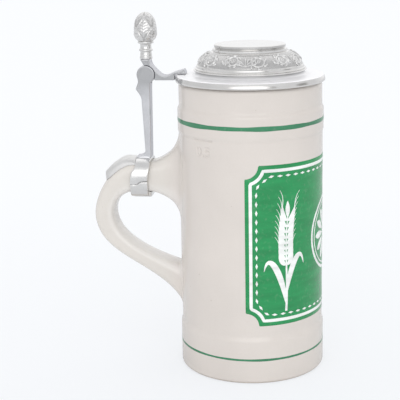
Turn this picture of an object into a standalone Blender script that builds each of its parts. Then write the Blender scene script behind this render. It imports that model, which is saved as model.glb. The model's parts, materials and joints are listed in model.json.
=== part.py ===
"""A half-litre beer stein: a stoneware mug with a hinged pewter lid.

The mug stands on Z = 0 with its turned body about the Z axis. The handle, the strap and the
hinge lie in the XZ plane on the -X side, and the lid opens towards -X.
"""

import math

import bmesh
import bpy
import numpy as np
from mathutils import Matrix

MM = 0.001

# Gap kept between pieces that touch, and the running gap round the hinge
CLEARANCE = 0.3 * MM
HINGE_CLEARANCE = 0.4 * MM

# Turned stoneware body: a foot, a plain wall, a low collar and a neck
BODY_RADIUS = 41.0 * MM
BODY_HEIGHT = 166.0 * MM
WALL = 5.6 * MM
FLOOR = 9.0 * MM
FLOOR_FILLET = 6.0 * MM
BASE_ROUND = 2.2 * MM
RIM_ROUND = 2.2 * MM
FOOT_STEP = 0.8 * MM
FOOT_HEIGHT = 25.0 * MM
COLLAR_STEP = 0.5 * MM
COLLAR_DROP = 15.0 * MM
COLLAR_HEIGHT = 11.0 * MM
NECK_STEP = 0.4 * MM
STEP_BLEND = 2.6 * MM
BODY_STEPS = 56

# Handle: an upper root, a straight seat for the band, a bend and a lower arm with its root
HANDLE_WIDTH = 19.0 * MM
HANDLE_SQUARENESS = 3.4
UPPER_ROOT_RISE = 18.0 * MM
UPPER_ROOT_FALL = 15.0 * MM
ROOT_FLARE = 1.5 * MM
SEAT_START = 15.9 * MM
SEAT_TOP = 120.2 * MM
SEAT_BOTTOM = 101.9 * MM
BEND_REACH = 50.3 * MM
BEND_DEPTH = 11.8 * MM
BEND_HEIGHT = 89.4 * MM
ARM_TAPER = 2.0 * MM
ARM_BACK_HEIGHT = 60.0 * MM
ARM_BACK_TOE = 8.0 * MM
ARM_FRONT_KNEE = 74.0 * MM
ARM_FRONT_TOE = 17.0 * MM
ARM_FRONT_TOE_HEIGHT = 64.0 * MM
LOWER_ROOT_TOP = 58.5 * MM
LOWER_ROOT_BOTTOM = 31.0 * MM
ROOT_CURVE = 1.33
BEND_BACK_CURVE = 1.2
BEND_FRONT_CURVE = 1.0
STRETCH_RINGS = 11
HANDLE_SIDES = 18

# Band round the handle's seat, and the leaf behind it
BAND_WIDTH = 10.2 * MM
BAND_THICKNESS = 1.6 * MM
BAND_SOLE = 2.6 * MM
BAND_LEAN = 1.4 * MM
BAND_NARROW = 1.6 * MM
BAND_SIDES = 32
LEAF_LENGTH = 19.6 * MM
LEAF_INSET = 1.5 * MM
LEAF_ROOT = 1.2 * MM
LEAF_EDGE = 2.6 * MM
LEAF_ROOF = 1.2 * MM
LEAF_PEAK = 0.4
LEAF_TAPER = 0.93
LEAF_TIP_ROUND = 6
LEAF_CAMBER = 2.4
LEAF_STATIONS = 14
LEAF_STRIPS = 12

# Turned lid: a crown, a domed frieze, three mouldings and a flange
LID_OVERHANG = 1.6 * MM
FLANGE_THICKNESS = 3.7 * MM
FLANGE_LEDGE = 10.3 * MM
FLANGE_ROUND = 0.6 * MM
MOULDING_NECK = 2.6 * MM
MOULDING_PITCH = 0.9 * MM
MOULDING_COVE = 1.5 * MM
MOULDING_STEP = 0.75 * MM
MOULDING_GROOVE = 0.3 * MM
FRIEZE_INSET = 2.0 * MM
FRIEZE_CURVE = 1.25
DOME_HEIGHT = 13.0 * MM
SHOULDER_STEP = 1.9 * MM
CROWN_RADIUS = 20.1 * MM
CROWN_HEIGHT = 4.0 * MM
CROWN_SIDE = 2.1 * MM
CROWN_GROOVE = 0.4 * MM
CROWN_STEP = 0.9 * MM
LID_WALL = 2.4 * MM
HOLLOW_CURVE = 0.8

# Hinge
HINGE_REACH = 16.9 * MM
HINGE_DROP = 0.1 * MM
EYE_RADIUS = 5.2 * MM
HINGE_WIDTH = 8.4 * MM
KNUCKLE_WIDTH = 3.2 * MM
PIN_RADIUS = 1.4 * MM
PLATE_EASE = 0.4 * MM
EYE_SEGMENTS = 40

# Lid shank: a post under the thumb lift, an arm to the lid and a tongue on its flange
SHANK_WEB = 0.8 * MM
POST_HEIGHT = 8.7 * MM
POST_FRONT = 2.3 * MM
POST_BACK = 2.8 * MM
ARM_DROP = 0.6 * MM
ARM_THICKNESS = 2.6 * MM
TONGUE_LENGTH = 6.4 * MM
TONGUE_ROOT = 0.9 * MM
TONGUE_RISE = 2.5 * MM
TONGUE_BEVEL = 1.0 * MM
KNUCKLE_SWEEP = 231

# Strap: an eye, a barb behind it, a tapering stem and a flared foot on the band
STRAP_FRONT = 2.3 * MM
STRAP_BACK = 2.9 * MM
BARB_DROP = 8.0 * MM
BARB_REACH = 5.9 * MM
BARB_NOSE = 1.1 * MM
BARB_FALL = 5.4 * MM
STEM_DEPTH = 3.3 * MM
STRAP_FLARE = 4.2 * MM
STRAP_TOE = 0.7 * MM

# Thumb lift: a turned stem under a scaled cone, whose row values are shares of a scale
STEM_HEIGHT = 10.0 * MM
STEM_RADIUS = 3.1 * MM
STEM_BEAD = 3.8 * MM
BEAD_HEIGHT = 4.8 * MM
BEAD_ROUND = 0.8 * MM
STEM_DISC = 1.0 * MM
STEM_DISC_STEP = 0.3 * MM
CONE_SEAT_RADIUS = 4.6 * MM
CONE_RADIUS = 6.6 * MM
CONE_HEIGHT = 16.2 * MM
CONE_BELLY = 0.33
CONE_TUCK = 0.75
CONE_CURVE = 2.0
CONE_TOP_SHARE = 0.96
SCALE_ROWS = 2.6
SCALES_ROUND = 4
SCALE_ROOT = 0.3
SCALE_TIP = 1.25
SCALE_POINT = 1.4
SCALE_RELIEF = 0.32 * MM
CONE_SIDES = 48
CONE_RINGS = 24

# Places that follow from the sizes above
NECK_RADIUS = BODY_RADIUS - NECK_STEP
LID_RADIUS = NECK_RADIUS + LID_OVERHANG
LID_BOTTOM = BODY_HEIGHT + CLEARANCE
FLANGE_TOP = LID_BOTTOM + FLANGE_THICKNESS
HINGE = (-(LID_RADIUS + HINGE_REACH), 0.0, FLANGE_TOP - HINGE_DROP)
SEAT_END = SEAT_START + BAND_WIDTH + 2 * CLEARANCE
BAND_FRONT = -(BODY_RADIUS + SEAT_START + CLEARANCE)
BAND_TOP = SEAT_TOP + CLEARANCE + BAND_THICKNESS
LIFT_BOTTOM = POST_HEIGHT + CLEARANCE
EYE_ROOM = EYE_RADIUS + HINGE_CLEARANCE


def clear_scene():
    for old in list(bpy.data.objects):
        bpy.data.objects.remove(old, do_unlink=True)


def new_collection(name):
    made = bpy.data.collections.new(name)
    bpy.context.scene.collection.children.link(made)
    return made


def new_material(name, colour, roughness, metallic):
    made = bpy.data.materials.new(name)
    made.use_nodes = True
    shader = made.node_tree.nodes["Principled BSDF"]
    shader.inputs["Base Color"].default_value = (*colour, 1.0)
    shader.inputs["Roughness"].default_value = roughness
    shader.inputs["Metallic"].default_value = metallic
    return made


def add_part(name, mesh, material, location=(0, 0, 0), parent=None):
    """A visible piece of the stein, placed in its parent's frame and smooth except at sharp edges."""
    part = bpy.data.objects.new(name, mesh)
    part.data.materials.append(material)
    part.data.shade_smooth()
    part.data.set_sharp_from_angle(angle=math.radians(35))
    part.location = location
    part.parent = parent
    PARTS.objects.link(part)
    return part


def add_cutter(name, mesh, location=(0, 0, 0)):
    """A helper that shapes a piece and isn't one itself."""
    cutter = bpy.data.objects.new(name, mesh)
    cutter.location = location
    cutter.hide_render = True
    cutter.display_type = "WIRE"
    CUTTERS.objects.link(cutter)
    return cutter


def combine(part, other, operation):
    """Joins or cuts a piece with a helper."""
    change = part.modifiers.new(f"{operation.lower()} {other.name}", "BOOLEAN")
    change.operation = operation
    change.solver = "EXACT"
    change.object = other


def arc(centre, radius, start, end, count):
    """Points of a circular arc between two angles in degrees."""
    angles = np.radians(np.linspace(start, end, count))
    return np.column_stack([centre[0] + radius * np.cos(angles), centre[1] + radius * np.sin(angles)])


def quarter(start, end, curve, count):
    """A quarter of a superellipse that leaves its start level and comes to its end upright."""
    turned = np.radians(np.linspace(0, 90, count))
    along = np.sin(turned) ** curve
    across = 1 - np.abs(np.cos(turned)) ** curve
    return np.column_stack([start[0] + (end[0] - start[0]) * along, start[1] + (end[1] - start[1]) * across])


def smooth_step(value):
    """3 t^2 - 2 t^3, level at 0 and at 1 and held there beyond."""
    t = np.clip(value, 0.0, 1.0)
    return t * t * (3 - 2 * t)


def bezier(start, first_pull, second_pull, end, count):
    """Points of a cubic curve, without its start."""
    t = np.linspace(0, 1, count + 1)[1:, None]
    weights = ((1 - t) ** 3, 3 * t * (1 - t) ** 2, 3 * t**2 * (1 - t), t**3)
    points = np.array([start, first_pull, second_pull, end])
    return sum(weight * point for weight, point in zip(weights, points))


def smooth_through(knots, count):
    """A Catmull-Rom curve through points, evenly split between them."""
    knots = np.asarray(knots, float)
    ends = np.vstack([2 * knots[0] - knots[1], knots, 2 * knots[-1] - knots[-2]])
    where = np.linspace(0, len(knots) - 1, count)
    first = np.minimum(where.astype(int), len(knots) - 2)
    t = (where - first)[:, None]
    before, here, after, beyond = (ends[first + step] for step in range(4))
    return 0.5 * (
        2 * here
        + (after - before) * t
        + (2 * before - 5 * here + 4 * after - beyond) * t**2
        + (3 * here - before - 3 * after + beyond) * t**3
    )


def profile_mesh(name, profile):
    """An open profile of radius and height, as a mesh of edges to be turned."""
    mesh = bpy.data.meshes.new(name)
    edges = [(i, i + 1) for i in range(len(profile) - 1)]
    mesh.from_pydata([(radius, 0.0, height) for radius, height in profile], edges, [])
    return mesh


def turn(part, steps):
    """Spins a profile into a closed solid about its own Z axis."""
    screw = part.modifiers.new("turn", "SCREW")
    screw.axis = "Z"
    screw.angle = math.tau
    screw.steps = steps
    screw.render_steps = steps
    screw.use_merge_vertices = True
    screw.merge_threshold = 0.00001
    screw.use_smooth_shade = True


def face_out(mesh):
    """Welds a mesh's doubled corners and turns its faces outwards."""
    shape = bmesh.new()
    shape.from_mesh(mesh)
    bmesh.ops.remove_doubles(shape, verts=shape.verts, dist=0.00001)
    bmesh.ops.recalc_face_normals(shape, faces=shape.faces)
    shape.to_mesh(mesh)
    shape.free()
    return mesh


def loft_mesh(name, rings, capped):
    """A mesh over rings of points. Capped, its ends close; otherwise the last ring joins the first."""
    ring_count, side_count, _ = rings.shape
    index = np.arange(ring_count * side_count).reshape(ring_count, side_count)
    rows = index if capped else np.vstack([index, index[:1]])
    right = np.roll(rows, -1, axis=1)
    faces = np.stack([rows[:-1], right[:-1], right[1:], rows[1:]], axis=-1).reshape(-1, 4).tolist()
    if capped:
        faces += [index[0, ::-1].tolist(), index[-1].tolist()]
    mesh = bpy.data.meshes.new(name)
    mesh.from_pydata(rings.reshape(-1, 3).tolist(), [], faces)
    return face_out(mesh)


def ease_edges(mesh, size):
    """Makes each cheek of a plate, which looks along Y, into one face and chamfers its outline."""
    shape = bmesh.new()
    shape.from_mesh(mesh)
    shape.normal_update()
    cheeks = {face for face in shape.faces if abs(face.normal.y) > 0.9}
    inner = [edge for edge in shape.edges if cheeks.issuperset(edge.link_faces)]
    rims = [edge for edge in shape.edges if len(cheeks.intersection(edge.link_faces)) == 1]
    bmesh.ops.dissolve_edges(shape, edges=inner, use_verts=False)
    bmesh.ops.bevel(shape, geom=rims, offset=size, segments=1, affect="EDGES", clamp_overlap=True)
    shape.to_mesh(mesh)
    shape.free()
    return mesh


def plate_mesh(name, outline, width):
    """An outline in the XZ plane as a plate of that width across Y, with eased edges."""
    curve = bpy.data.curves.new(name, "CURVE")
    curve.dimensions = "2D"
    curve.fill_mode = "BOTH"
    curve.extrude = width / 2
    spline = curve.splines.new("POLY")
    spline.points.add(len(outline) - 1)
    for point, (x, z) in zip(spline.points, outline):
        point.co = (x, z, 0.0, 1.0)
    spline.use_cyclic_u = True
    flat = bpy.data.objects.new(name, curve)
    CUTTERS.objects.link(flat)
    bpy.context.view_layer.update()
    evaluated = flat.evaluated_get(bpy.context.evaluated_depsgraph_get())
    mesh = bpy.data.meshes.new_from_object(evaluated)
    mesh.transform(Matrix.Rotation(math.pi / 2, 4, "X"))
    bpy.data.objects.remove(flat, do_unlink=True)
    return ease_edges(face_out(mesh), PLATE_EASE)


def rod_mesh(name, radius, low_y, high_y, segments):
    """A round rod along Y."""
    mesh = bpy.data.meshes.new(name)
    shape = bmesh.new()
    bmesh.ops.create_cone(
        shape, cap_ends=True, segments=segments, radius1=radius, radius2=radius, depth=high_y - low_y
    )
    bmesh.ops.rotate(shape, verts=shape.verts, matrix=Matrix.Rotation(math.pi / 2, 3, "X"))
    bmesh.ops.translate(shape, verts=shape.verts, vec=(0, (low_y + high_y) / 2, 0))
    shape.to_mesh(mesh)
    shape.free()
    return mesh


def cut_rod(part, name, radius, low_y, high_y, segments=EYE_SEGMENTS):
    """Cuts a round hole along the hinge axis."""
    rod = add_cutter(name, rod_mesh(name, radius, low_y, high_y, segments), HINGE)
    combine(part, rod, "DIFFERENCE")


def body_profile():
    """Inner floor, up the inner wall, over the rim and down the outer wall to the base."""
    inner = BODY_RADIUS - WALL
    foot = BODY_RADIUS + FOOT_STEP
    collar = BODY_RADIUS + COLLAR_STEP
    collar_top = BODY_HEIGHT - COLLAR_DROP
    collar_bottom = collar_top - COLLAR_HEIGHT
    floor_round = arc((inner - FLOOR_FILLET, FLOOR + FLOOR_FILLET), FLOOR_FILLET, -90, 0, 6)
    lip_inside = arc((inner + RIM_ROUND, BODY_HEIGHT - RIM_ROUND), RIM_ROUND, 180, 90, 4)
    lip_outside = arc((NECK_RADIUS - RIM_ROUND, BODY_HEIGHT - RIM_ROUND), RIM_ROUND, 90, 0, 4)
    wall_steps = [
        (NECK_RADIUS, collar_top + STEP_BLEND),
        (collar, collar_top),
        (collar, collar_bottom),
        (BODY_RADIUS, collar_bottom - STEP_BLEND),
        (BODY_RADIUS, FOOT_HEIGHT + STEP_BLEND),
        (foot, FOOT_HEIGHT),
    ]
    base_round = arc((foot - BASE_ROUND, BASE_ROUND), BASE_ROUND, 0, -90, 5)
    return np.vstack([(0, FLOOR), floor_round, lip_inside, lip_outside, wall_steps, base_round, (0, 0)])


def handle_line(stretch):
    """The handle's back and front lines and its width, with so many points to each curved stretch.

    A line's points are reaches from the body wall and heights. The seat lies between the root and the
    bend, whose curves are quarter superellipses, and the lower arm's lines are cubic curves.
    """
    buried = -WALL / 2
    root_top = (buried, SEAT_TOP + UPPER_ROOT_RISE)
    root_bottom = (buried, SEAT_BOTTOM - UPPER_ROOT_FALL)
    root_back = quarter((SEAT_START, SEAT_TOP), root_top, ROOT_CURVE, stretch)
    root_front = quarter((SEAT_START, SEAT_BOTTOM), root_bottom, ROOT_CURVE, stretch)
    bend_back = quarter((SEAT_END, SEAT_TOP), (BEND_REACH, BEND_HEIGHT), BEND_BACK_CURVE, stretch)
    bend_inside = (BEND_REACH - BEND_DEPTH, BEND_HEIGHT)
    bend_front = quarter((SEAT_END, SEAT_BOTTOM), bend_inside, BEND_FRONT_CURVE, stretch)
    arm_back = bezier(
        (BEND_REACH, BEND_HEIGHT),
        (BEND_REACH, ARM_BACK_HEIGHT),
        (ARM_BACK_TOE, ARM_BACK_HEIGHT),
        (buried, LOWER_ROOT_BOTTOM),
        stretch,
    )
    arm_front = bezier(
        bend_inside,
        (bend_inside[0], ARM_FRONT_KNEE),
        (ARM_FRONT_TOE, ARM_FRONT_TOE_HEIGHT),
        (buried, LOWER_ROOT_TOP),
        stretch,
    )
    back = np.vstack([root_back[::-1], bend_back, arm_back])
    front = np.vstack([root_front[::-1], bend_front, arm_front])
    flare = ROOT_FLARE * np.linspace(1, 0, stretch)
    taper = ARM_TAPER * np.sin(np.pi * np.linspace(0, 1, stretch + 1)[1:])
    width = HANDLE_WIDTH + np.concatenate([flare, np.zeros(stretch), -taper])
    return back, front, width


def handle_sections(stretch):
    """Middle points, outward directions, half depths and half widths of the handle's sections."""
    back, front, width = handle_line(stretch)
    middle = (back + front) / 2
    half_depth = np.linalg.norm(back - front, axis=1) / 2
    outward = (back - middle) / half_depth[:, None]
    middle = np.column_stack([middle[:, 0] + BODY_RADIUS, middle[:, 1]]) * (-1, 1)
    return middle, outward * (-1, 1), half_depth, width / 2


def squared_round(count):
    """One turn of a superellipse of unit half sizes: its outward and sideways shares."""
    angle = np.linspace(0, math.tau, count, endpoint=False)
    power = 2 / HANDLE_SQUARENESS
    outward = np.sign(np.cos(angle)) * np.abs(np.cos(angle)) ** power
    sideways = np.sign(np.sin(angle)) * np.abs(np.sin(angle)) ** power
    return outward, sideways


def handle_rings():
    """Rings of the handle's rounded section, carried along its middle line."""
    middle, outward, half_depth, half_width = handle_sections(STRETCH_RINGS)
    out_share, side_share = squared_round(HANDLE_SIDES)
    lift = half_depth[:, None] * out_share
    x = middle[:, 0, None] + outward[:, 0, None] * lift
    z = middle[:, 1, None] + outward[:, 1, None] * lift
    return np.stack([x, half_width[:, None] * side_share, z], axis=-1)


def make_mug_body():
    body = add_part("mug_body", profile_mesh("mug_body", body_profile()), STONEWARE)
    turn(body, BODY_STEPS)
    handle = add_cutter("handle_loft", loft_mesh("handle_loft", handle_rings(), capped=True))
    combine(body, handle, "UNION")


def make_handle_band():
    """A ring round the handle's seat, thicker in its sole below, with its outer edges eased.

    On either side the strip leans away from the body as it goes down, and its sole is square again. On
    top it is narrower, which leaves room for the leaf.
    """
    out_share, side_share = squared_round(BAND_SIDES)
    lean = BAND_LEAN * smooth_step((0.85 - out_share) / 1.1) * (out_share > -0.93)
    narrow = BAND_NARROW * smooth_step((out_share - 0.25) / 0.4)
    back = BAND_FRONT - BAND_WIDTH
    ease = BAND_THICKNESS / 4
    wall = np.where(out_share < 0, BAND_SOLE, BAND_THICKNESS)
    loops = [
        (BAND_FRONT, 0),
        (BAND_FRONT, BAND_THICKNESS - ease),
        (BAND_FRONT - ease, BAND_THICKNESS),
        (back + ease, BAND_THICKNESS),
        (back, BAND_THICKNESS - ease),
        (back, 0),
    ]
    rings = []
    for x, cover in loops:
        lift = (SEAT_TOP - SEAT_BOTTOM) / 2 + CLEARANCE + cover * wall / BAND_THICKNESS
        spread = HANDLE_WIDTH / 2 + CLEARANCE + cover
        z = (SEAT_TOP + SEAT_BOTTOM) / 2 + lift * out_share
        shift = narrow * (x < BAND_FRONT - BAND_WIDTH / 2) - lean
        rings.append(np.column_stack([x + shift, spread * side_share, z]))
    add_part("handle_band", loft_mesh("handle_band", np.array(rings), capped=False), PEWTER)


def make_handle_leaf():
    """The leaf that arches over the handle behind the band: a thick edge, a low roof and a blunt tip.

    Its sole follows the handle's section at a clearance, and its edge is thinner at the band.
    """
    middle, outward, half_depth, half_width = handle_sections(200)
    back_line = middle + outward * half_depth[:, None]
    travelled = np.concatenate([[0], np.cumsum(np.linalg.norm(np.diff(back_line, axis=0), axis=1))])
    band_end = BAND_FRONT - BAND_WIDTH + BAND_NARROW - CLEARANCE
    share = np.linspace(0, 1, LEAF_STATIONS)
    place = np.interp(-band_end, -back_line[:400, 0], travelled[:400]) + LEAF_LENGTH * share
    columns = np.column_stack([middle, outward, half_depth, half_width]).T
    mid_x, mid_z, out_x, out_z, depth, width = (np.interp(place, travelled, c)[:, None] for c in columns)
    side = np.cos(np.pi * np.arange(LEAF_STRIPS + 1) / LEAF_STRIPS)
    y = (width - LEAF_INSET) * np.sqrt(1 - (LEAF_TAPER * share) ** LEAF_TIP_ROUND)[:, None] * side
    sole = depth * (1 - np.abs(y / width) ** HANDLE_SQUARENESS) ** (1 / HANDLE_SQUARENESS) + CLEARANCE
    crown = np.sin(np.pi * share ** (math.log(0.5) / math.log(LEAF_PEAK)))[:, None]
    edge = LEAF_ROOT + (LEAF_EDGE - LEAF_ROOT) * smooth_step(share / LEAF_PEAK)[:, None]
    back = sole + edge + LEAF_ROOF * crown * (1 - np.abs(side) ** LEAF_CAMBER)
    lift = np.hstack([sole, back[:, ::-1]])
    rings = np.stack([mid_x + out_x * lift, np.hstack([y, y[:, ::-1]]), mid_z + out_z * lift], axis=-1)
    add_part("handle_leaf", loft_mesh("handle_leaf", rings, capped=True), PEWTER)


def lid_profile():
    """Crown, frieze, mouldings and flange from the top down, then the hollow underside to the axis."""
    dome_top = FLANGE_TOP + DOME_HEIGHT
    crown_top = dome_top + CROWN_HEIGHT
    foot = LID_RADIUS - FLANGE_LEDGE
    crown = [
        (0, crown_top),
        (CROWN_RADIUS - CROWN_GROOVE, crown_top),
        (CROWN_RADIUS, crown_top - CROWN_GROOVE),
        (CROWN_RADIUS - CROWN_GROOVE, crown_top - CROWN_SIDE),
        (CROWN_RADIUS + CROWN_STEP, crown_top - CROWN_SIDE - CROWN_GROOVE),
        (CROWN_RADIUS + CROWN_STEP, dome_top + CROWN_GROOVE),
    ]
    levels = FLANGE_TOP + MOULDING_NECK + MOULDING_PITCH * np.arange(4)
    shoulder = (CROWN_RADIUS + SHOULDER_STEP, dome_top)
    frieze = quarter(shoulder, (foot - FRIEZE_INSET, levels[3]), FRIEZE_CURVE, 9)
    mouldings = []
    for level in (2, 1, 0):
        radius = foot - MOULDING_STEP * level
        mouldings += [(radius, levels[level + 1] - MOULDING_GROOVE), (radius, levels[level])]
    neck = foot - MOULDING_STEP
    rim = [
        *quarter((neck + MOULDING_COVE, FLANGE_TOP), (neck, levels[0] - MOULDING_GROOVE), 1, 5)[::-1],
        (LID_RADIUS - FLANGE_ROUND, FLANGE_TOP),
        (LID_RADIUS, FLANGE_TOP - FLANGE_ROUND),
        (LID_RADIUS, LID_BOTTOM + FLANGE_ROUND),
        (LID_RADIUS - FLANGE_ROUND, LID_BOTTOM),
        (BODY_RADIUS - WALL, LID_BOTTOM),
    ]
    hollow = quarter((0, crown_top - LID_WALL), (neck - LID_WALL, LID_BOTTOM + LID_WALL), HOLLOW_CURVE, 8)
    return np.vstack([crown, frieze, mouldings, rim, hollow[::-1]])


def make_lid(parent):
    place = (-HINGE[0], 0.0, -HINGE[2])
    lid = add_part("lid", profile_mesh("lid", lid_profile()), PEWTER_LID, place, parent)
    turn(lid, BODY_STEPS)


def shank_outline():
    """Post, hollow sweep, arm and tongue, closed round the hinge eye. Points are off the hinge axis."""
    ring = EYE_ROOM + SHANK_WEB
    rim = HINGE_REACH - CLEARANCE
    flange = HINGE_DROP + CLEARANCE
    arm_top = HINGE_DROP - ARM_DROP
    arm_bottom = arm_top - ARM_THICKNESS
    span = rim - ring
    sweep = smooth_through(
        [
            (POST_FRONT, POST_HEIGHT),
            *arc((0, 0), ring, 58, 23, 2),
            (ring + 0.17 * span, arm_top + TONGUE_ROOT),
            (ring + 0.33 * span, arm_top + 0.1 * TONGUE_ROOT),
            (ring + 0.56 * span, arm_top),
            (rim - CLEARANCE, flange + TONGUE_ROOT),
        ],
        19,
    )
    tip = rim + TONGUE_LENGTH
    tongue = [(tip - TONGUE_BEVEL, flange + TONGUE_RISE), (tip, flange), (rim, flange), (rim, arm_bottom)]
    arm_start = math.degrees(math.asin(arm_bottom / ring))
    knuckle = arc((0, 0), EYE_RADIUS, arm_start, arm_start - KNUCKLE_SWEEP, 30)
    heel = [(ring * math.cos(math.radians(arm_start)), arm_bottom)]
    return np.vstack([(-POST_BACK, POST_HEIGHT), sweep, tongue, heel, knuckle])


def make_lid_shank(parent):
    plate = plate_mesh("lid_shank", shank_outline(), HINGE_WIDTH)
    shank = add_part("lid_shank", plate, PEWTER, parent=parent)
    cut_rod(shank, "near_eye_room", EYE_ROOM, -HINGE_WIDTH, -KNUCKLE_WIDTH / 2)
    cut_rod(shank, "far_eye_room", EYE_ROOM, KNUCKLE_WIDTH / 2, HINGE_WIDTH)
    cut_rod(shank, "knuckle_bore", PIN_RADIUS + CLEARANCE, -HINGE_WIDTH, HINGE_WIDTH, EYE_SEGMENTS // 2)


def strap_outline():
    """Eye, barb, tapering stem and flared foot. Points are off the hinge axis."""
    foot = BAND_TOP + CLEARANCE - HINGE[2]
    foot_front = BAND_FRONT - HINGE[0]
    foot_back = foot_front - BAND_WIDTH + BAND_NARROW
    stem_back = foot_front - STEM_DEPTH
    eye = arc((0, 0), EYE_RADIUS, -60, 205, 27)
    barb = [(-0.87 * EYE_RADIUS, -0.8 * EYE_RADIUS), (-BARB_REACH, -BARB_DROP)]
    stem = smooth_through(
        [
            (BARB_NOSE / 2 - BARB_REACH, -BARB_DROP - BARB_NOSE),
            (-STRAP_BACK - BARB_NOSE, -BARB_DROP - 0.55 * BARB_FALL),
            (-STRAP_BACK, -BARB_DROP - BARB_FALL),
            (0.9 * -STRAP_BACK, -BARB_DROP - 1.7 * BARB_FALL),
            (stem_back, foot + STRAP_FLARE),
        ],
        13,
    )
    flare = quarter((foot_back, foot + STRAP_TOE), (stem_back, foot + STRAP_FLARE), 1, 7)
    base = [(foot_back, foot), (foot_front, foot), (STRAP_FRONT, -BARB_DROP)]
    return np.vstack([eye, barb, stem[:-1], flare[::-1], base])


def make_strap():
    strap = add_part("strap", plate_mesh("strap", strap_outline(), HINGE_WIDTH), PEWTER, HINGE)
    half_slot = KNUCKLE_WIDTH / 2 + CLEARANCE
    cut_rod(strap, "knuckle_slot", EYE_ROOM, -half_slot, half_slot)
    cut_rod(strap, "eye_bore", PIN_RADIUS + CLEARANCE, -HINGE_WIDTH, HINGE_WIDTH, EYE_SEGMENTS // 2)


def make_hinge_pin():
    half = HINGE_WIDTH / 2
    pin = rod_mesh("hinge_pin", PIN_RADIUS, -half, half, EYE_SEGMENTS // 2)
    add_part("hinge_pin", pin, STEEL, HINGE)


def stem_profile():
    """The stem from inside the cone down to its base disc, with a ring under the cone and a bead."""
    buried = STEM_HEIGHT + 2 * BEAD_ROUND
    ring = arc((CONE_SEAT_RADIUS - BEAD_ROUND, STEM_HEIGHT - BEAD_ROUND), BEAD_ROUND, 90, -90, 6)
    bead = arc((STEM_BEAD - BEAD_ROUND, BEAD_HEIGHT), BEAD_ROUND, 80, -80, 5)
    neck = [(STEM_RADIUS, STEM_HEIGHT - 2.5 * BEAD_ROUND), (STEM_RADIUS, BEAD_HEIGHT + 1.5 * BEAD_ROUND)]
    waist = [(STEM_RADIUS, STEM_DISC + BEAD_ROUND)]
    disc = [(STEM_RADIUS + STEM_DISC_STEP, STEM_DISC), (STEM_RADIUS + STEM_DISC_STEP, 0), (0, 0)]
    return np.vstack([(0, buried), (0.8 * CONE_SEAT_RADIUS, buried), ring, neck, bead, waist, disc])


def cone_rings():
    """An egg whose radius swells with rows of pointed scales, each row half a scale round from the last.

    A scale rises from its root to its pointed tip, and where rows lap the higher one shows.
    """
    share = 0.5 - 0.5 * np.cos(np.pi * np.linspace(0, CONE_TOP_SHARE, CONE_RINGS))
    angle = np.linspace(0, math.tau, CONE_SIDES, endpoint=False)
    below = CONE_TUCK * np.clip(CONE_BELLY - share, 0, None) / CONE_BELLY
    above = np.clip(share - CONE_BELLY, 0, None) / (1 - CONE_BELLY)
    egg = CONE_RADIUS * np.sqrt(1 - below**2) * (1 - above**CONE_CURVE) ** (1 / CONE_CURVE)
    relief = np.zeros((CONE_RINGS, CONE_SIDES))
    for row in range(-1, math.floor(SCALE_ROWS)):
        turns = angle * SCALES_ROUND / math.tau + 0.5 * ((row + 1) % 2)
        off_middle = np.abs(2 * (turns - np.floor(turns)) - 1)
        tip = (row + 1 + SCALE_TIP * (1 - off_middle**SCALE_POINT)) / SCALE_ROWS
        root = (row - SCALE_ROOT) / SCALE_ROWS
        rise = (share[:, None] - root) / (tip - root)
        relief = np.maximum(relief, np.where((rise > 0) & (rise <= 1), rise, 0))
    radius = egg[:, None] * (1 + SCALE_RELIEF / CONE_RADIUS * (2 * relief - 1))
    z = np.broadcast_to((STEM_HEIGHT + CONE_HEIGHT * share)[:, None], radius.shape)
    return np.stack([radius * np.cos(angle), radius * np.sin(angle), z], axis=-1)


def make_thumb_lift(parent):
    place = (0.0, 0.0, LIFT_BOTTOM)
    lift = add_part("thumb_lift", profile_mesh("thumb_lift", stem_profile()), PEWTER, place, parent)
    turn(lift, CONE_SIDES // 2)
    cone = loft_mesh("scaled_cone", cone_rings(), capped=True)
    combine(lift, add_cutter("scaled_cone", cone, (HINGE[0], 0.0, HINGE[2] + LIFT_BOTTOM)), "UNION")


def make_hinge_axis():
    """An empty on the hinge axis that carries what swings with the lid."""
    axis = bpy.data.objects.new("hinge_axis", None)
    axis.location = HINGE
    PARTS.objects.link(axis)
    return axis


clear_scene()
PARTS = new_collection("beer_stein")
CUTTERS = new_collection("stein_cutters")
STONEWARE = new_material("glazed_stoneware", (0.60, 0.56, 0.49), 0.18, 0.0)
PEWTER_LID = new_material("bright_pewter", (0.70, 0.70, 0.69), 0.24, 1.0)
PEWTER = new_material("dull_pewter", (0.52, 0.52, 0.54), 0.34, 1.0)
STEEL = new_material("pin_steel", (0.45, 0.45, 0.46), 0.30, 1.0)

make_mug_body()
make_handle_band()
make_handle_leaf()
make_strap()
make_hinge_pin()
hinge_axis = make_hinge_axis()
make_lid(hinge_axis)
make_lid_shank(hinge_axis)
make_thumb_lift(hinge_axis)
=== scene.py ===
"""Looks of a half-litre stein: glazed stoneware, a painted panel and pewter fittings on a hinge.

Every piece is a surface worked out on whole arrays, and it stands where the frame's solid stands.
"""

import json
import math

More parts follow.
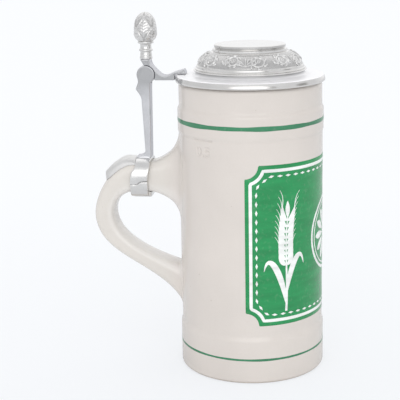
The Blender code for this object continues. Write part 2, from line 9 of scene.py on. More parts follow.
import bpy
import numpy as np
from mathutils import Matrix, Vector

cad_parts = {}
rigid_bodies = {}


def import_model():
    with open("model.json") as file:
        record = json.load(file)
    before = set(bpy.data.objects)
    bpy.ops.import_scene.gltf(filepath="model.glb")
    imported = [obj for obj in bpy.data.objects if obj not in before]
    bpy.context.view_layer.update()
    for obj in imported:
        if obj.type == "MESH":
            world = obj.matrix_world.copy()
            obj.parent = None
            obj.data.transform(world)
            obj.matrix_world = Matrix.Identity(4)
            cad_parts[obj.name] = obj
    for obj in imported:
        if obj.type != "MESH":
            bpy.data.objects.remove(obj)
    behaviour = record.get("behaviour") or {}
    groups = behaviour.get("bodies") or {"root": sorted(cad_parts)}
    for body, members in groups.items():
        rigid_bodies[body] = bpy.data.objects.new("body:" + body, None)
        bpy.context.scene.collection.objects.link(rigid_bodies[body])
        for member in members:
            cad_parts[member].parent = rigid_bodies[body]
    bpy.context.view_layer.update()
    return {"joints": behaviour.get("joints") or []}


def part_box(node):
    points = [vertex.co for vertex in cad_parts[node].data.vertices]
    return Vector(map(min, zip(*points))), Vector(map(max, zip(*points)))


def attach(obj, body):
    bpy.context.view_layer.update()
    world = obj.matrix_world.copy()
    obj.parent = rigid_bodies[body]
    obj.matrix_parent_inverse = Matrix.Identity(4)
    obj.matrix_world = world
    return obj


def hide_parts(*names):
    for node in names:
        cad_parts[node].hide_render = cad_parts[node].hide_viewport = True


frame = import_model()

bl_info = {
    "name": "Lidded Stein",
    "version": (1, 0, 0),
    "blender": (4, 5, 0),
    "location": "View3D > Sidebar > Stein",
    "description": "Builds the surfaces of a stoneware stein with a hinged pewter lid",
    "category": "Add Mesh",
}

MM = 0.001
MUG_LOW, MUG_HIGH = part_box("mug_body")
BAND_LOW, BAND_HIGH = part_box("handle_band")
LID_LOW, LID_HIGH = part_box("lid")
LIFT_LOW, LIFT_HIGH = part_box("thumb_lift")
HINGE = frame["joints"][0]
HINGE_X, _, HINGE_Z = HINGE["pos_m"]
MUG, LID_BODY = HINGE["parent"], HINGE["child"]
GAP = 0.3 * MM

# Turned stoneware
FOOT_STEP = 0.8 * MM
FOOT_HEIGHT = 25.0 * MM
COLLAR_STEP = 0.5 * MM
COLLAR_BOTTOM = 140.0 * MM
COLLAR_TOP = 151.0 * MM
NECK_STEP = 0.4 * MM
STEP_BLEND = 2.6 * MM
WALL = 5.6 * MM
FLOOR = 9.0 * MM
FLOOR_FILLET = 6.0 * MM
LIP_ROUND = 2.2 * MM
BASE_RECESS = 0.5 * MM
BASE_RING = 7.0 * MM
BODY_RADIUS = MUG_HIGH.x - FOOT_STEP
INNER_RADIUS = BODY_RADIUS - WALL
NECK_RADIUS = BODY_RADIUS - NECK_STEP
UPPER_LINE_HEIGHT = 145.6 * MM
LOWER_LINE_HEIGHT = 14.4 * MM
# What the glaze's colour is multiplied by on the handle, and again on the handle's inner side as painted
# light
HANDLE_TINT = (1.015, 1.04, 1.04, 1.0)
INNER_PAINTED_LIGHT = (1.125, 1.145, 1.17, 1.0)

# Fill mark pressed in the wall
MARK_START = math.radians(-134.0)
MARK_LENGTH = 12.7 * MM
MARK_HEIGHT = 138.0 * MM
MARK_STROKE = 0.6 * MM
DIGIT_START = 2.3 * MM
DIGIT_FOOT = 129.1 * MM
MARK_MARGIN = 1.5 * MM
MARK_GRID = 0.2 * MM

# Painted panel
PANEL_HALF = 64.4 * MM
PANEL_MIDDLE = 79.8 * MM
PANEL_HALF_HEIGHT = 45.7 * MM
PANEL_SCALLOP = 7.5 * MM
# Share of the panel's size at which its ground has its full thickness
FIELD_EDGE = 0.998
RULE_INSET = 3.1 * MM
STITCH_INSET = 6.3 * MM
STITCH_PITCH = 5.0 * MM
STITCH_REACH = 1.7 * MM
SPRIG_REACH = 41.0 * MM
SPRIG_FOOT = -38.0 * MM

# Band round the handle
BAND_WIDTH = 10.2 * MM
BAND_BACK = BAND_HIGH.x - BAND_WIDTH
BAND_THICKNESS = 1.6 * MM
BAND_SOLE = 2.6 * MM
BAND_LEAN = 1.4 * MM
BAND_NARROW = 1.6 * MM
SEAM_LEVEL = -1.8 * MM
SEAM_SWING = 0.75 * MM
LAP_SWELL = 0.9 * MM
LENS_SWELL = 0.4 * MM
LENS_HEIGHT = 2.2 * MM
SEAM_GROOVE = 0.4 * MM
SEAM_BEND = 1.3 * MM
LAP_EDGE = 0.3 * MM
# How far under the seam its groove and its stain lie, and how wide they are
GROOVE_DROP, GROOVE_WIDTH = 0.2 * MM, 0.22 * MM
STAIN_DROP, STAIN_WIDTH = 0.1 * MM, 0.25 * MM

# Leaf behind the band
LEAF_LENGTH = 21.7 * MM
LEAF_PEAK = 0.4
LEAF_CURL = -0.6
LEAF_MARGIN = 1.5 * MM
# The leaf's thickness at its root, what it gains towards its peak and its tip, and what is left at its rim
LEAF_ROOT = 1.2 * MM
LEAF_RISE = 1.6 * MM
LEAF_TIP = 1.2 * MM
LEAF_RIM = 0.4 * MM
# The swell of the leaf's middle, the height of its rib and the depth of its veins
LEAF_SWELL = 0.5 * MM
LEAF_RIB = 0.10 * MM
LEAF_VEIN = 0.35 * MM
LEAF_VEIN_COUNT = 4.2
LEAF_VEIN_SLANT = 0.42

# Handle, with its reaches from the wall
SEAT_START = -BAND_HIGH.x - BODY_RADIUS - GAP
SEAT_END = -BAND_BACK - BODY_RADIUS + GAP
SEAT_TOP = BAND_HIGH.z - GAP - BAND_THICKNESS
SEAT_BOTTOM = BAND_LOW.z + GAP + BAND_SOLE
HANDLE_WIDTH = 19.0 * MM
HANDLE_SQUARENESS = 3.4
BEND_REACH = -MUG_LOW.x - BODY_RADIUS
BEND_DEPTH = 11.8 * MM
BEND_HEIGHT = 89.4 * MM
ROOT_RISE = 18.0 * MM
ROOT_FALL = 15.0 * MM
ROOT_FLARE = 1.5 * MM
ARM_TAPER = 2.0 * MM
ROOT_CURVE = 1.33
BEND_CURVE = 1.2
# The arm below the bend: the heights towards which its lines set out and at which they meet the wall, and
# the points, by reach and height, that draw them in between
BACK_KNEE, FRONT_KNEE = 60.0 * MM, 74.0 * MM
BACK_TOE, FRONT_TOE = (8.0 * MM, 60.0 * MM), (17.0 * MM, 64.0 * MM)
BACK_FOOT, FRONT_FOOT = 31.0 * MM, 58.5 * MM

# Turned lid and its frieze
FLANGE_TOP = LID_LOW.z + 3.7 * MM
DOME_FOOT = LID_HIGH.x - 10.3 * MM
DOME_TOP = FLANGE_TOP + 13.0 * MM
CROWN_RADIUS = 20.1 * MM
LID_WALL = 2.4 * MM
MOULDING_PITCH = 1.2 * MM
MOULDING_STEP = 0.75 * MM
NECK_DEPTH = 1.4 * MM
MOULDING_COVE = 2.6 * MM
MOULDING_START = FLANGE_TOP + 2.6 * MM
BEAD_RADIUS = 0.36 * MM
BEAD_LIFT = 0.30 * MM
BEAD_SINK = 0.28
FRIEZE_TOP_RADIUS = 22.0 * MM
FRIEZE_FOOT_RADIUS = DOME_FOOT - 2.0 * MM
FRIEZE_CURVE = 1.25
FRIEZE_FOOT = MOULDING_START + 2.85 * MM
FRIEZE_MIDDLE = 26.8 * MM
FRIEZE_COLUMNS = 1008
# Scrolls in millimetres: the stem's distance from its middle, how far it winds in and its turns, the longest
# leaf of a plume and of a fan, and the height that counts as full relief
SCROLL_REACH, SCROLL_WIND, SCROLL_TURNS = 4.0, 2.35, 1.2
PLUME_LEAF, FAN_LEAF = 3.0, 6.4
FULL_RELIEF = 0.55
# Share of the relief below which tarnish stays
FRIEZE_SHADE = 0.55

# Hinge
EYE_RADIUS = 5.2 * MM
EYE_ROOM = 5.6 * MM
HINGE_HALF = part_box("strap")[1].y
STRAP_FOOT = BAND_HIGH.z - 0.05 * MM
STRAP_BACK = BAND_BACK + BAND_NARROW
STEM_BACK = BAND_HIGH.x - 3.3 * MM
FLARE_FOOT = 0.7 * MM
FLARE_RISE = 3.5 * MM
FOOT_SPREAD = 0.4 * MM
FOOT_TUCK = 0.1 * MM
FOOT_SINK = 0.15 * MM
FOOT_RISE = 1.6 * MM
SHANK_BEND = 6.4 * MM
KNUCKLE_HALF = 1.6 * MM
SLOT_HALF = 1.9 * MM
PIN_RADIUS = 1.4 * MM
PIN_DOME = 0.25 * MM
PIN_SHOULDER = 0.3 * MM

# Thumb lift
STEM_HEIGHT = 10.0 * MM
CONE_RADIUS = 6.6 * MM
CONE_BELLY = 0.33
CONE_TUCK = 0.75
CONE_ROWS = 2.6
CONE_LEAVES = 4
CONE_POINT = 1.25
CONE_LAP = 0.3
# Veins to the length of a leaf, and how many of them a line across half the leaf meets
CONE_VEIN_COUNT = 8.0
CONE_VEIN_SLANT = 3.6
# Shares of the relief that a leaf's climb, rib, veins and rim have, and the share that makes a full recess
CONE_CLIMB = 0.62
CONE_RIB = 0.20
CONE_VEIN = 0.18
CONE_RIM = 0.22
CONE_SHADE = 0.16

# Share of the light that the hinge's plates give back at a glancing angle
EDGE_TINT = (0.76, 0.76, 0.78, 1.0)
# Colour of the turned pewter's satin, between the flange's edge and the mouldings
SATIN = (0.93, 0.925, 0.935, 1.0)

# Kinds of casting: the setting that holds the colour, the tarnish in recesses, the extra roughness, and
# whether the hinge's cheeks are darkened by hands
CASTINGS = {
    "cast_pewter": ("dull", 0.0, 0.0, False),
    "seamed_pewter": ("dull", 0.75, 0.0, False),
    "leaf_pewter": ("dull", 0.3, 0.3, False),
    "relief_pewter": ("dull", 0.42, 0.05, False),
    "hinge_pewter": ("worn", 0.0, 0.0, True),
}

# Floor: how much of what the camera sees is a glow that no shadow dims, and the shares of the paper's tone
# that the camera and the metal see
FLOOR_GLOW = 0.73
FLOOR_SHOWN = 0.91
FLOOR_SEEN = 0.71
FLOOR_HUB = 0.02
FLOOR_REACH = 14.0
FLOOR_NEAR = (0.905, 0.925, 0.955, 1.0)
BACKDROP = (0.962, 0.980, 1.0, 1.0)

# Room: the sine of the height at which the walls end, how far they blend, and the tones of its sides
WALL_TOP = 0.56
WALL_BLEND = 0.10
WALL_WHITE = (1.0, 1.005, 1.015, 1.0)
CEILING_GREY = (0.72, 0.725, 0.74, 1.0)
CEILING_WHITE = (1.12, 1.12, 1.13, 1.0)
LEFT_GREY = (0.70, 0.705, 0.72, 1.0)
RIGHT_GREY = (0.77, 0.775, 0.79, 1.0)
FRONT_GREY = (0.86, 0.865, 0.875, 1.0)
# Dark cloths on the right, by their headings in degrees and the cosines of their soft edges' angles
FLAGS = ((38, (0.990, 0.998)), (91, (0.975, 0.995)))
FLAG_GREY = (0.36, 0.355, 0.35, 1.0)
# The height over which the cloths end, as a sine
FLAG_TOP = (0.2, 0.35)
# The way to the window in front, what widens it, the cosines of its soft edge's angles and its light
WINDOW_WAY = (0.05, -0.98, 0.17)
WINDOW_SHAPE = (0.5, 1.0, 1.0)
WINDOW_EDGE = (0.94, 0.98)
WINDOW_WHITE = (1.7, 1.7, 1.7, 1.0)

# Lamps: their spread, their tilt from overhead and their heading, in degrees
TOP_LAMP = (70, 12, 20)
KEY_LAMP = (60, 55, 4)

# Camera, with its angles in radians
CAMERA_PLACE = (55.3 * MM, -631.6 * MM, 252.4 * MM)
CAMERA_HEADING = 0.1340
CAMERA_TILT = 0.2402
CAMERA_ROLL = -0.0198
SENSOR_WIDTH = 36.0
CLIP_START = 0.01

# Edges sharper than this, in degrees, stay sharp
CREASE = 35
# Sockets of a colour mix
MIX_SHARE, MIX_FIRST, MIX_SECOND, MIX_RESULT = 0, 6, 7, 2


def length(name, size, description, **limits):
    """A property that holds a length in metres."""
    return bpy.props.FloatProperty(
        name=name, description=description, default=size, unit="LENGTH", precision=5, **limits
    )


def colour(name, value, description):
    """A property that holds a linear colour."""
    return bpy.props.FloatVectorProperty(
        name=name, description=description, default=value, size=3, subtype="COLOR", min=0.0, max=1.0
    )


def strength(name, value, description):
    """A property that holds a lamp's strength."""
    return bpy.props.FloatProperty(name=name, description=description, default=value, min=0.0)


class SteinStoneware(bpy.types.PropertyGroup):
    """Colours and small sizes of the stoneware and its paint."""

    glaze: colour("Glaze", (0.632, 0.587, 0.548), "Colour of the glazed wall")
    speck: colour("Specks", (0.43, 0.37, 0.31), "Colour of the specks that burn through the glaze")
    bare: colour("Bare clay", (0.52, 0.46, 0.40), "Colour of the unglazed base")
    green: colour("Green paint", (0.010, 0.250, 0.075), "Colour of the panel")
    line: colour("Line paint", (0.035, 0.195, 0.095), "Colour of the two lines round the mug")
    white: colour("White paint", (0.80, 0.82, 0.80), "Colour of the panel's rules and sprigs")
    upper_line: length("Upper line", 2.7 * MM, "Width of the painted line on the collar")
    lower_line: length("Lower line", 1.4 * MM, "Width of the painted line on the foot")
    paint: length("Paint", 0.07 * MM, "Thickness of one coat of paint")
    wave: length("Turning wave", 0.05 * MM, "How far the thrown wall waves in and out")
    mark: length("Fill mark", 0.38 * MM, "Depth of the pressed fill mark")
    upper_root: length("Upper root", 5.5 * MM, "Radius of the clay where the handle leaves the wall")
    lower_root: length("Lower root", 1.5 * MM, "Radius of the clay where the handle comes back to the wall")


class SteinPewter(bpy.types.PropertyGroup):
    """Colours and small sizes of the metal pieces."""

    bright: colour("Turned pewter", (0.81, 0.80, 0.785), "Colour of the turned lid")
    dull: colour("Cast pewter", (0.83, 0.825, 0.815), "Colour of the cast fittings")
    worn: colour("Worn pewter", (0.735, 0.74, 0.765), "Colour of the strap")
    handled: colour("Handled pewter", (0.525, 0.53, 0.54), "Colour of the castings round the hinge")
    # The same colour is the painted shade in the lid's cove and on the crown's side
    patina_and_shade: colour("Patina", (0.22, 0.215, 0.21), "Colour of the tarnish that stays in recesses")
    steel: colour("Pin", (0.42, 0.42, 0.43), "Colour of the hinge pin")
    repeats: bpy.props.IntProperty(
        name="Scrolls", description="Pairs of scrolls round the lid", default=6, min=3
    )
    relief: length("Frieze relief", 0.6 * MM, "Height of the scrolls over their ground")
    scale: length("Cone relief", 0.46 * MM, "Height of the cone's leaves")
    ease: length("Eased edge", 0.55 * MM, "Radius of the edges of the cast plates")


class SteinStage(bpy.types.PropertyGroup):
    """Floor, lamps and camera."""

    floor: colour("Floor", (0.93, 0.94, 0.955), "Colour of the floor")
    fill: strength("Fill", 1.04, "Strength of the light from all round")
    top: strength("Top lamp", 0.52, "Strength of the lamp overhead")
    key: strength("Key lamp", 0.55, "Strength of the lamp in front")
    lens: bpy.props.FloatProperty(
        name="Lens", description="Focal length in millimetres", default=101.4, subtype="DISTANCE_CAMERA"
    )


class SteinSettings(bpy.types.PropertyGroup):
    """All that a user would change on the stein."""

    stoneware: bpy.props.PointerProperty(type=SteinStoneware, name="Stoneware", description="Mug and paint")
    pewter: bpy.props.PointerProperty(type=SteinPewter, name="Pewter", description="Lid and fittings")
    stage: bpy.props.PointerProperty(type=SteinStage, name="Stage", description="Floor, lamps and camera")


def smooth_step(value):
    """3 t^2 - 2 t^3, level at 0 and at 1 and held there beyond."""
    t = np.clip(value, 0.0, 1.0)
    return t * t * (3 - 2 * t)


def arc(centre, radius, start, end, count):
    """Points of a circular arc between two angles in degrees."""
    angles = np.radians(np.linspace(start, end, count))
    return np.column_stack([centre[0] + radius * np.cos(angles), centre[1] + radius * np.sin(angles)])


def quarter(start, end, curve, count):
    """A quarter of a superellipse that leaves its start level and comes to its end upright."""
    turned_by = np.radians(np.linspace(0, 90, count))
    along = np.sin(turned_by) ** curve
    across = 1 - np.abs(np.cos(turned_by)) ** curve
    return np.column_stack([start[0] + (end[0] - start[0]) * along, start[1] + (end[1] - start[1]) * across])


def bezier(start, first_pull, second_pull, end, count):
    """Points of a cubic curve from its start to its end."""
    t = np.linspace(0, 1, count)[:, None]
    weights = ((1 - t) ** 3, 3 * t * (1 - t) ** 2, 3 * t**2 * (1 - t), t**3)
    points = (start, first_pull, second_pull, end)
    return sum(weight * np.asarray(point) for weight, point in zip(weights, points))


def smooth_through(knots, count):
    """A Catmull-Rom curve through points, evenly split between them."""
    knots = np.asarray(knots, float)
    ends = np.vstack([2 * knots[0] - knots[1], knots, 2 * knots[-1] - knots[-2]])
    where = np.linspace(0, len(knots) - 1, count)
    first = np.minimum(where.astype(int), len(knots) - 2)
    t = (where - first)[:, None]
    before, here, after, beyond = (ends[first + step] for step in range(4))
    return 0.5 * (
        2 * here
        + (after - before) * t
        + (2 * before - 5 * here + 4 * after - beyond) * t**2
        + (3 * here - before - 3 * after + beyond) * t**3
    )


def travelled(line):
    """The distance along a line from its start to each of its points."""
    return np.concatenate([[0], np.cumsum(np.linalg.norm(np.diff(line, axis=0), axis=1))])


def ways(path, closed=False):
    """The unit vector along a path at each of its points."""
    along = np.roll(path, -1, axis=0) - np.roll(path, 1, axis=0) if closed else np.gradient(path, axis=0)
    return along / np.linalg.norm(along, axis=1)[:, None]


def spaced(line, step, closed=False):
    """The same line with its points about one step apart."""
    line = np.vstack([line, line[:1]]) if closed else np.asarray(line, float)
    reached = travelled(line)
    count = max(3, int(round(reached[-1] / step)))
    where = np.linspace(0, reached[-1], count, endpoint=not closed)
    return np.column_stack([np.interp(where, reached, column) for column in line.T])


def cut_corners(line, passes, closed=False):
    """Each pass puts two points on every edge, at its quarters, in place of its ends."""
    for _ in range(passes):
        following = np.roll(line, -1, axis=0) if closed else line[1:]
        start = line if closed else line[:-1]
        pairs = np.stack([0.75 * start + 0.25 * following, 0.25 * start + 0.75 * following], axis=1)
        new_line = pairs.reshape(-1, 2)
        line = new_line if closed else np.vstack([line[:1], new_line, line[-1:]])
    return line


def quads(rows, columns, wrap_rows=False, wrap_columns=True):
    """Corner numbers of the quads of a grid of points that is stored row by row."""
    index = np.arange(rows * columns).reshape(rows, columns)
    if wrap_columns:
        index = np.hstack([index, index[:, :1]])
    if wrap_rows:
        index = np.vstack([index, index[:1]])
    corners = [index[:-1, :-1], index[:-1, 1:], index[1:, 1:], index[1:, :-1]]
    return np.stack(corners, axis=-1).reshape(-1, 4)


def capped(rings, first_pole, last_pole):
    """Rings of points with a skin between them, and a fan from either end ring to its pole."""
    rows, columns, _ = rings.shape
    points = np.vstack([rings.reshape(-1, 3), first_pole, last_pole])
    first = np.arange(columns)
    last = first + (rows - 1) * columns
    start_fan = np.column_stack([np.roll(first, -1), first, np.full(columns, rows * columns)])
    end_fan = np.column_stack([last, np.roll(last, -1), np.full(columns, rows * columns + 1)])
    return points, [quads(rows, columns), start_fan, end_fan]


def looped(rings):
    """Rings of points whose last ring joins the first."""
    rows, columns, _ = rings.shape
    return rings.reshape(-1, 3), [quads(rows, columns, wrap_rows=True)]


def lofted(rings):
    """Rings of points closed at both ends by fans to the rings' middles."""
    return capped(rings, rings[0].mean(axis=0), rings[-1].mean(axis=0))


def joined(shapes):
    """Several shapes as one."""
    starts = np.cumsum([0] + [len(points) for points, _ in shapes])
    points = np.vstack([points for points, _ in shapes])
    return points, [corners + start for start, (_, faces) in zip(starts, shapes) for corners in faces]


def wound(radius, angle, height):
    """Points round the Z axis: x = r cos a, y = r sin a, at their heights."""
    return np.stack(np.broadcast_arrays(radius * np.cos(angle), radius * np.sin(angle), height), axis=-1)


def turned(profile, angles, dent=0.0):
    """A profile of radius and height spun about Z.

    The profile starts and ends on the axis. A dent is taken off each radius.
    """
    radius, height = np.asarray(profile, float).T
    rings = wound(radius[1:-1, None] - dent, angles, height[1:-1, None])
    return capped(rings, (0, 0, height[0]), (0, 0, height[-1]))


def even_angles(count):
    """Angles evenly round a circle."""
    return np.linspace(0, math.tau, count, endpoint=False)


def outward(points, faces):
    """Turns every face round if the volume that they enclose comes out negative."""
    volume = 0.0
    for corners in faces:
        first = points[corners[:, 0]]
        for k in range(1, corners.shape[1] - 1):
            volume += np.sum(first * np.cross(points[corners[:, k]], points[corners[:, k + 1]]))
    return [corners[:, ::-1] for corners in faces] if volume < 0 else faces


def new_mesh(name, shape):
    """A mesh of a closed shape, smooth except over its creases."""
    points, faces = shape
    faces = outward(points, faces)
    corners = np.concatenate([face.ravel() for face in faces])
    sizes = np.concatenate([np.full(len(face), face.shape[1]) for face in faces])
    mesh = bpy.data.meshes.new(name)
    mesh.vertices.add(len(points))
    mesh.vertices.foreach_set("co", points.astype(np.float32).ravel())
    mesh.loops.add(len(corners))
    mesh.loops.foreach_set("vertex_index", corners.astype(np.int32))
    mesh.polygons.add(len(sizes))
    mesh.polygons.foreach_set("loop_start", (np.cumsum(sizes) - sizes).astype(np.int32))
    mesh.update(calc_edges=True)
    if mesh.validate():
        raise RuntimeError(f"{name} has faces that don't hold together")
    mesh.shade_smooth()
    mesh.set_sharp_from_angle(angle=math.radians(CREASE))
    return mesh


def add_piece(name, shape, material, body, stands_for=None, recess=None):
    """A piece that rides on a body. Its recess, where given, is a value of 0 to 1 for each of its points."""
    mesh = new_mesh(name, shape)
    mesh.materials.append(material)
    if recess is not None:
        mesh.attributes.new("recess", "FLOAT", "POINT").data.foreach_set("value", recess.astype(np.float32))
    piece = bpy.data.objects.new(name, mesh)
    bpy.context.scene.collection.objects.link(piece)
    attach(piece, body)
    if stands_for:
        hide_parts(stands_for)
    return piece


def on_hinge(points):
    """Points turned about Z, laid so that their axis is the hinge's."""
    return np.column_stack([HINGE_X + points[:, 0], points[:, 2], HINGE_Z + points[:, 1]])


def cut_round(piece, radius, low_y, high_y):
    """Cuts a round hole along the hinge axis out of a piece."""
    points, faces = turned([(0, low_y), (radius, low_y), (radius, high_y), (0, high_y)], even_angles(72))
    cutter = bpy.data.objects.new("cutter", new_mesh("cutter", (on_hinge(points), faces)))
    bpy.context.scene.collection.objects.link(cutter)
    hole = piece.modifiers.new("hole", "BOOLEAN")
    hole.operation = "DIFFERENCE"
    hole.solver = "EXACT"
    hole.object = cutter
    bpy.context.view_layer.update()
    evaluated = piece.evaluated_get(bpy.context.evaluated_depsgraph_get())
    whole, piece_mesh = piece.data, bpy.data.meshes.new_from_object(evaluated)
    piece.modifiers.remove(hole)
    piece.data = piece_mesh
    piece_mesh.name = piece.name
    piece_mesh.set_sharp_from_angle(angle=math.radians(CREASE))
    bpy.data.meshes.remove(whole)
    bpy.data.meshes.remove(cutter.data)


def room_inside(outline, inward):
    """Radius of the largest circle that lies inside an outline and touches it at each of its points.

    A circle through a point with inward normal n, and through another at an offset o, has a radius of
    o.o / (2 o.n), and the least of these fits.
    """
    offset = outline[None] - outline[:, None]
    ahead = np.einsum("ijk,ik->ij", offset, inward)
    radius = np.sum(offset**2, axis=-1) / (2 * np.maximum(ahead, 1e-12))
    return np.min(np.where(ahead > 1e-9, radius, np.inf), axis=1)


def plate(outline, ease):
    """An outline in the XZ plane off the hinge axis, carried across the hinge's width, with rounded edges.

    Towards either face the outline shrinks by e (1 - cos t) as y gains e sin t, for t from 0 to 90 degrees,
    or by less where the outline is narrow. A flat margin follows, and then the face.
    """
    bend = np.linspace(0, math.pi / 2, 6)
    shrink = np.append(ease * (1 - np.cos(bend)), 1.3 * ease)
    rise = HINGE_HALF - ease * np.append(1 - np.sin(bend), 0.0)
    along = ways(outline, closed=True)
    x, z = outline.T
    turning = np.sign(np.sum(x * np.roll(z, -1) - z * np.roll(x, -1)))
    inward = turning * np.column_stack([-along[:, 1], along[:, 0]])
    narrow = np.minimum(1.0, 0.7 * room_inside(outline, inward) / shrink[-1])
    shrink = np.concatenate([shrink[::-1], shrink])[:, None, None] * narrow[:, None]
    across = np.concatenate([-rise[::-1], rise])
    rings = outline + shrink * inward
    rows, columns, _ = rings.shape
    y = np.broadcast_to(across[:, None], (rows, columns))
    points = np.stack([HINGE_X + rings[..., 0], y, HINGE_Z + rings[..., 1]], axis=-1).reshape(-1, 3)
    first = np.arange(columns)
    return points, [quads(rows, columns), first[None, ::-1], first[None] + (rows - 1) * columns]


def node(tree, kind, inputs=None, **settings):
    """A shader node, with its settings, and its inputs by name from a socket or a value."""
    made = tree.nodes.new(f"ShaderNode{kind}")
    for name, value in settings.items():
        setattr(made, name, value)
    for name, value in (inputs or {}).items():
        if isinstance(value, bpy.types.NodeSocket):
            tree.links.new(value, made.inputs[name])
        else:
            made.inputs[name].default_value = value
    return made


def object_place(tree):
    """Object coordinates, in metres."""
    return node(tree, "TexCoord").outputs["Object"]


def noise(tree, place, size, detail=2.0):
    """A cloudy value of 0 to 1 whose clouds are about that size in metres."""
    return node(tree, "TexNoise", {"Vector": place, "Scale": 1.0 / size, "Detail": detail}).outputs["Fac"]


def calculate(tree, operation, first, second):
    """One sum on two values or sockets."""
    return node(tree, "Math", {0: first, 1: second}, operation=operation).outputs[0]


def between(tree, value, low, high, from_low=0.0, from_high=1.0):
    """A value carried from one range to another and held at its ends."""
    sockets = {"Value": value, "From Min": from_low, "From Max": from_high, "To Min": low, "To Max": high}
    return node(tree, "MapRange", sockets).outputs["Result"]


def blend(tree, share, first, second, how="MIX"):
    """Two colours mixed by a share."""
    inputs = {MIX_SHARE: share, MIX_FIRST: first, MIX_SECOND: second}
    return node(tree, "Mix", inputs, data_type="RGBA", blend_type=how).outputs[MIX_RESULT]


def axes(tree, vector):
    """The X, Y and Z of a vector, by name."""
    return node(tree, "SeparateXYZ", {"Vector": vector}).outputs


def scaled(tree, vector, factors):
    """A vector with each axis multiplied by its factor."""
    return node(tree, "VectorMath", {0: vector, 1: factors}, operation="MULTIPLY").outputs["Vector"]


def recess_value(tree):
    """The piece's own recess, 0 to 1."""
    return node(tree, "Attribute", attribute_name="recess").outputs["Fac"]


def shade(value, factor=1.0):
    """A colour made lighter or darker, with an alpha."""
    return (*(channel * factor for channel in value), 1.0)


def clouded(tree, cloud, low, high, value, dark, light):
    """A colour from darker to lighter as a cloud's value goes from low to high."""
    return blend(tree, between(tree, cloud, 0, 1, low, high), shade(value, dark), shade(value, light))


def new_material(name, **surface_values):
    """A material with a Principled surface whose steady values are set on its own sockets."""
    material = bpy.data.materials.new(name)
    material.use_nodes = True
    tree = material.node_tree
    surface = tree.nodes["Principled BSDF"]
    for socket, value in surface_values.items():
        surface.inputs[socket.replace("_", " ")].default_value = value
    return material, tree, surface


def connect(tree, surface, **sockets):
    """Wires sockets to the surface's inputs by name."""
    for name, socket in sockets.items():
        tree.links.new(socket, surface.inputs[name.replace("_", " ")])


def bump(tree, height, depth, strength=1.0):
    """A normal from a height of 0 to 1 that stands for a depth in metres."""
    return node(tree, "Bump", {"Height": height, "Distance": depth, "Strength": strength}).outputs["Normal"]


def glazed_stoneware(look):
    """Pale clay under a clear glaze: cloudy tone, burnt specks, a soft ripple and a bare base.

    The handle is a little paler than the wall, and its inner side is lightened further as painted light.
    """
    material, tree, surface = new_material("glazed_stoneware", IOR=1.5, Coat_Weight=0.4, Coat_Roughness=0.06)
    place = object_place(tree)
    cloud = noise(tree, place, size=38 * MM, detail=3.0)
    tone = clouded(tree, cloud, 0.3, 0.7, look.glaze, 0.955, 1.03)
    grain = noise(tree, place, size=0.9 * MM, detail=3.0)
    tone = blend(tree, between(tree, grain, 0.0, 0.10, 0.35, 0.75), tone, shade(look.speck, 1.25))
    cells = node(tree, "TexVoronoi", {"Vector": place, "Scale": 1.0 / (6.5 * MM)})
    lot = node(tree, "SeparateColor", {"Color": cells.outputs["Color"]}).outputs["Red"]
    chosen = calculate(tree, "GREATER_THAN", lot, 0.72)
    near = between(tree, cells.outputs["Distance"], 0.75, 0.0, 0.02, 0.075)
    tone = blend(tree, calculate(tree, "MULTIPLY", chosen, near), tone, shade(look.speck))
    way = axes(tree, place)
    on_handle = between(tree, way["X"], 1.0, 0.0, -BODY_RADIUS - 9 * MM, -BODY_RADIUS)
    tone = blend(tree, on_handle, tone, HANDLE_TINT, "MULTIPLY")
    # Painted light on the handle's inner side, whose share its recess values hold
    tone = blend(tree, recess_value(tree), tone, INNER_PAINTED_LIGHT, "MULTIPLY")
    bare = between(tree, way["Z"], 1.0, 0.0, 0.7 * MM, 1.5 * MM)
    tone = blend(tree, bare, tone, shade(look.bare))
    ripple = noise(tree, place, size=9 * MM, detail=1.0)
    gloss = between(tree, noise(tree, place, size=14 * MM, detail=2.0), 0.13, 0.22, 0.3, 0.7)
    rough = calculate(tree, "MAXIMUM", gloss, calculate(tree, "MULTIPLY", bare, 0.7))
    relief = bump(tree, ripple, depth=0.10 * MM, strength=0.6)
    connect(tree, surface, Base_Color=tone, Roughness=rough, Normal=relief)
    return material


def enamel(name, value, ground):
    """Paint under the glaze: brushed tone along the turn, thin places where the clay shows through."""
    material, tree, surface = new_material(name, IOR=1.5, Coat_Weight=0.15, Coat_Roughness=0.07)
    place = object_place(tree)
    stretched = node(tree, "Mapping", {"Vector": place, "Scale": (1.0, 1.0, 5.0)}).outputs["Vector"]
    stroke = noise(tree, stretched, size=16 * MM, detail=4.0)
    tone = clouded(tree, stroke, 0.3, 0.7, value, 0.86, 1.12)
    thin = between(tree, noise(tree, place, size=2.2 * MM, detail=4.0), 0.0, 0.10, 0.55, 0.85)
    tone = blend(tree, thin, tone, shade(ground))
    gloss = between(tree, noise(tree, place, size=8 * MM, detail=2.0), 0.16, 0.27, 0.3, 0.7)
    ripple = noise(tree, place, size=5 * MM, detail=2.0)
    relief = bump(tree, ripple, depth=0.06 * MM, strength=0.6)
    connect(tree, surface, Base_Color=tone, Roughness=gloss, Normal=relief)
    return material


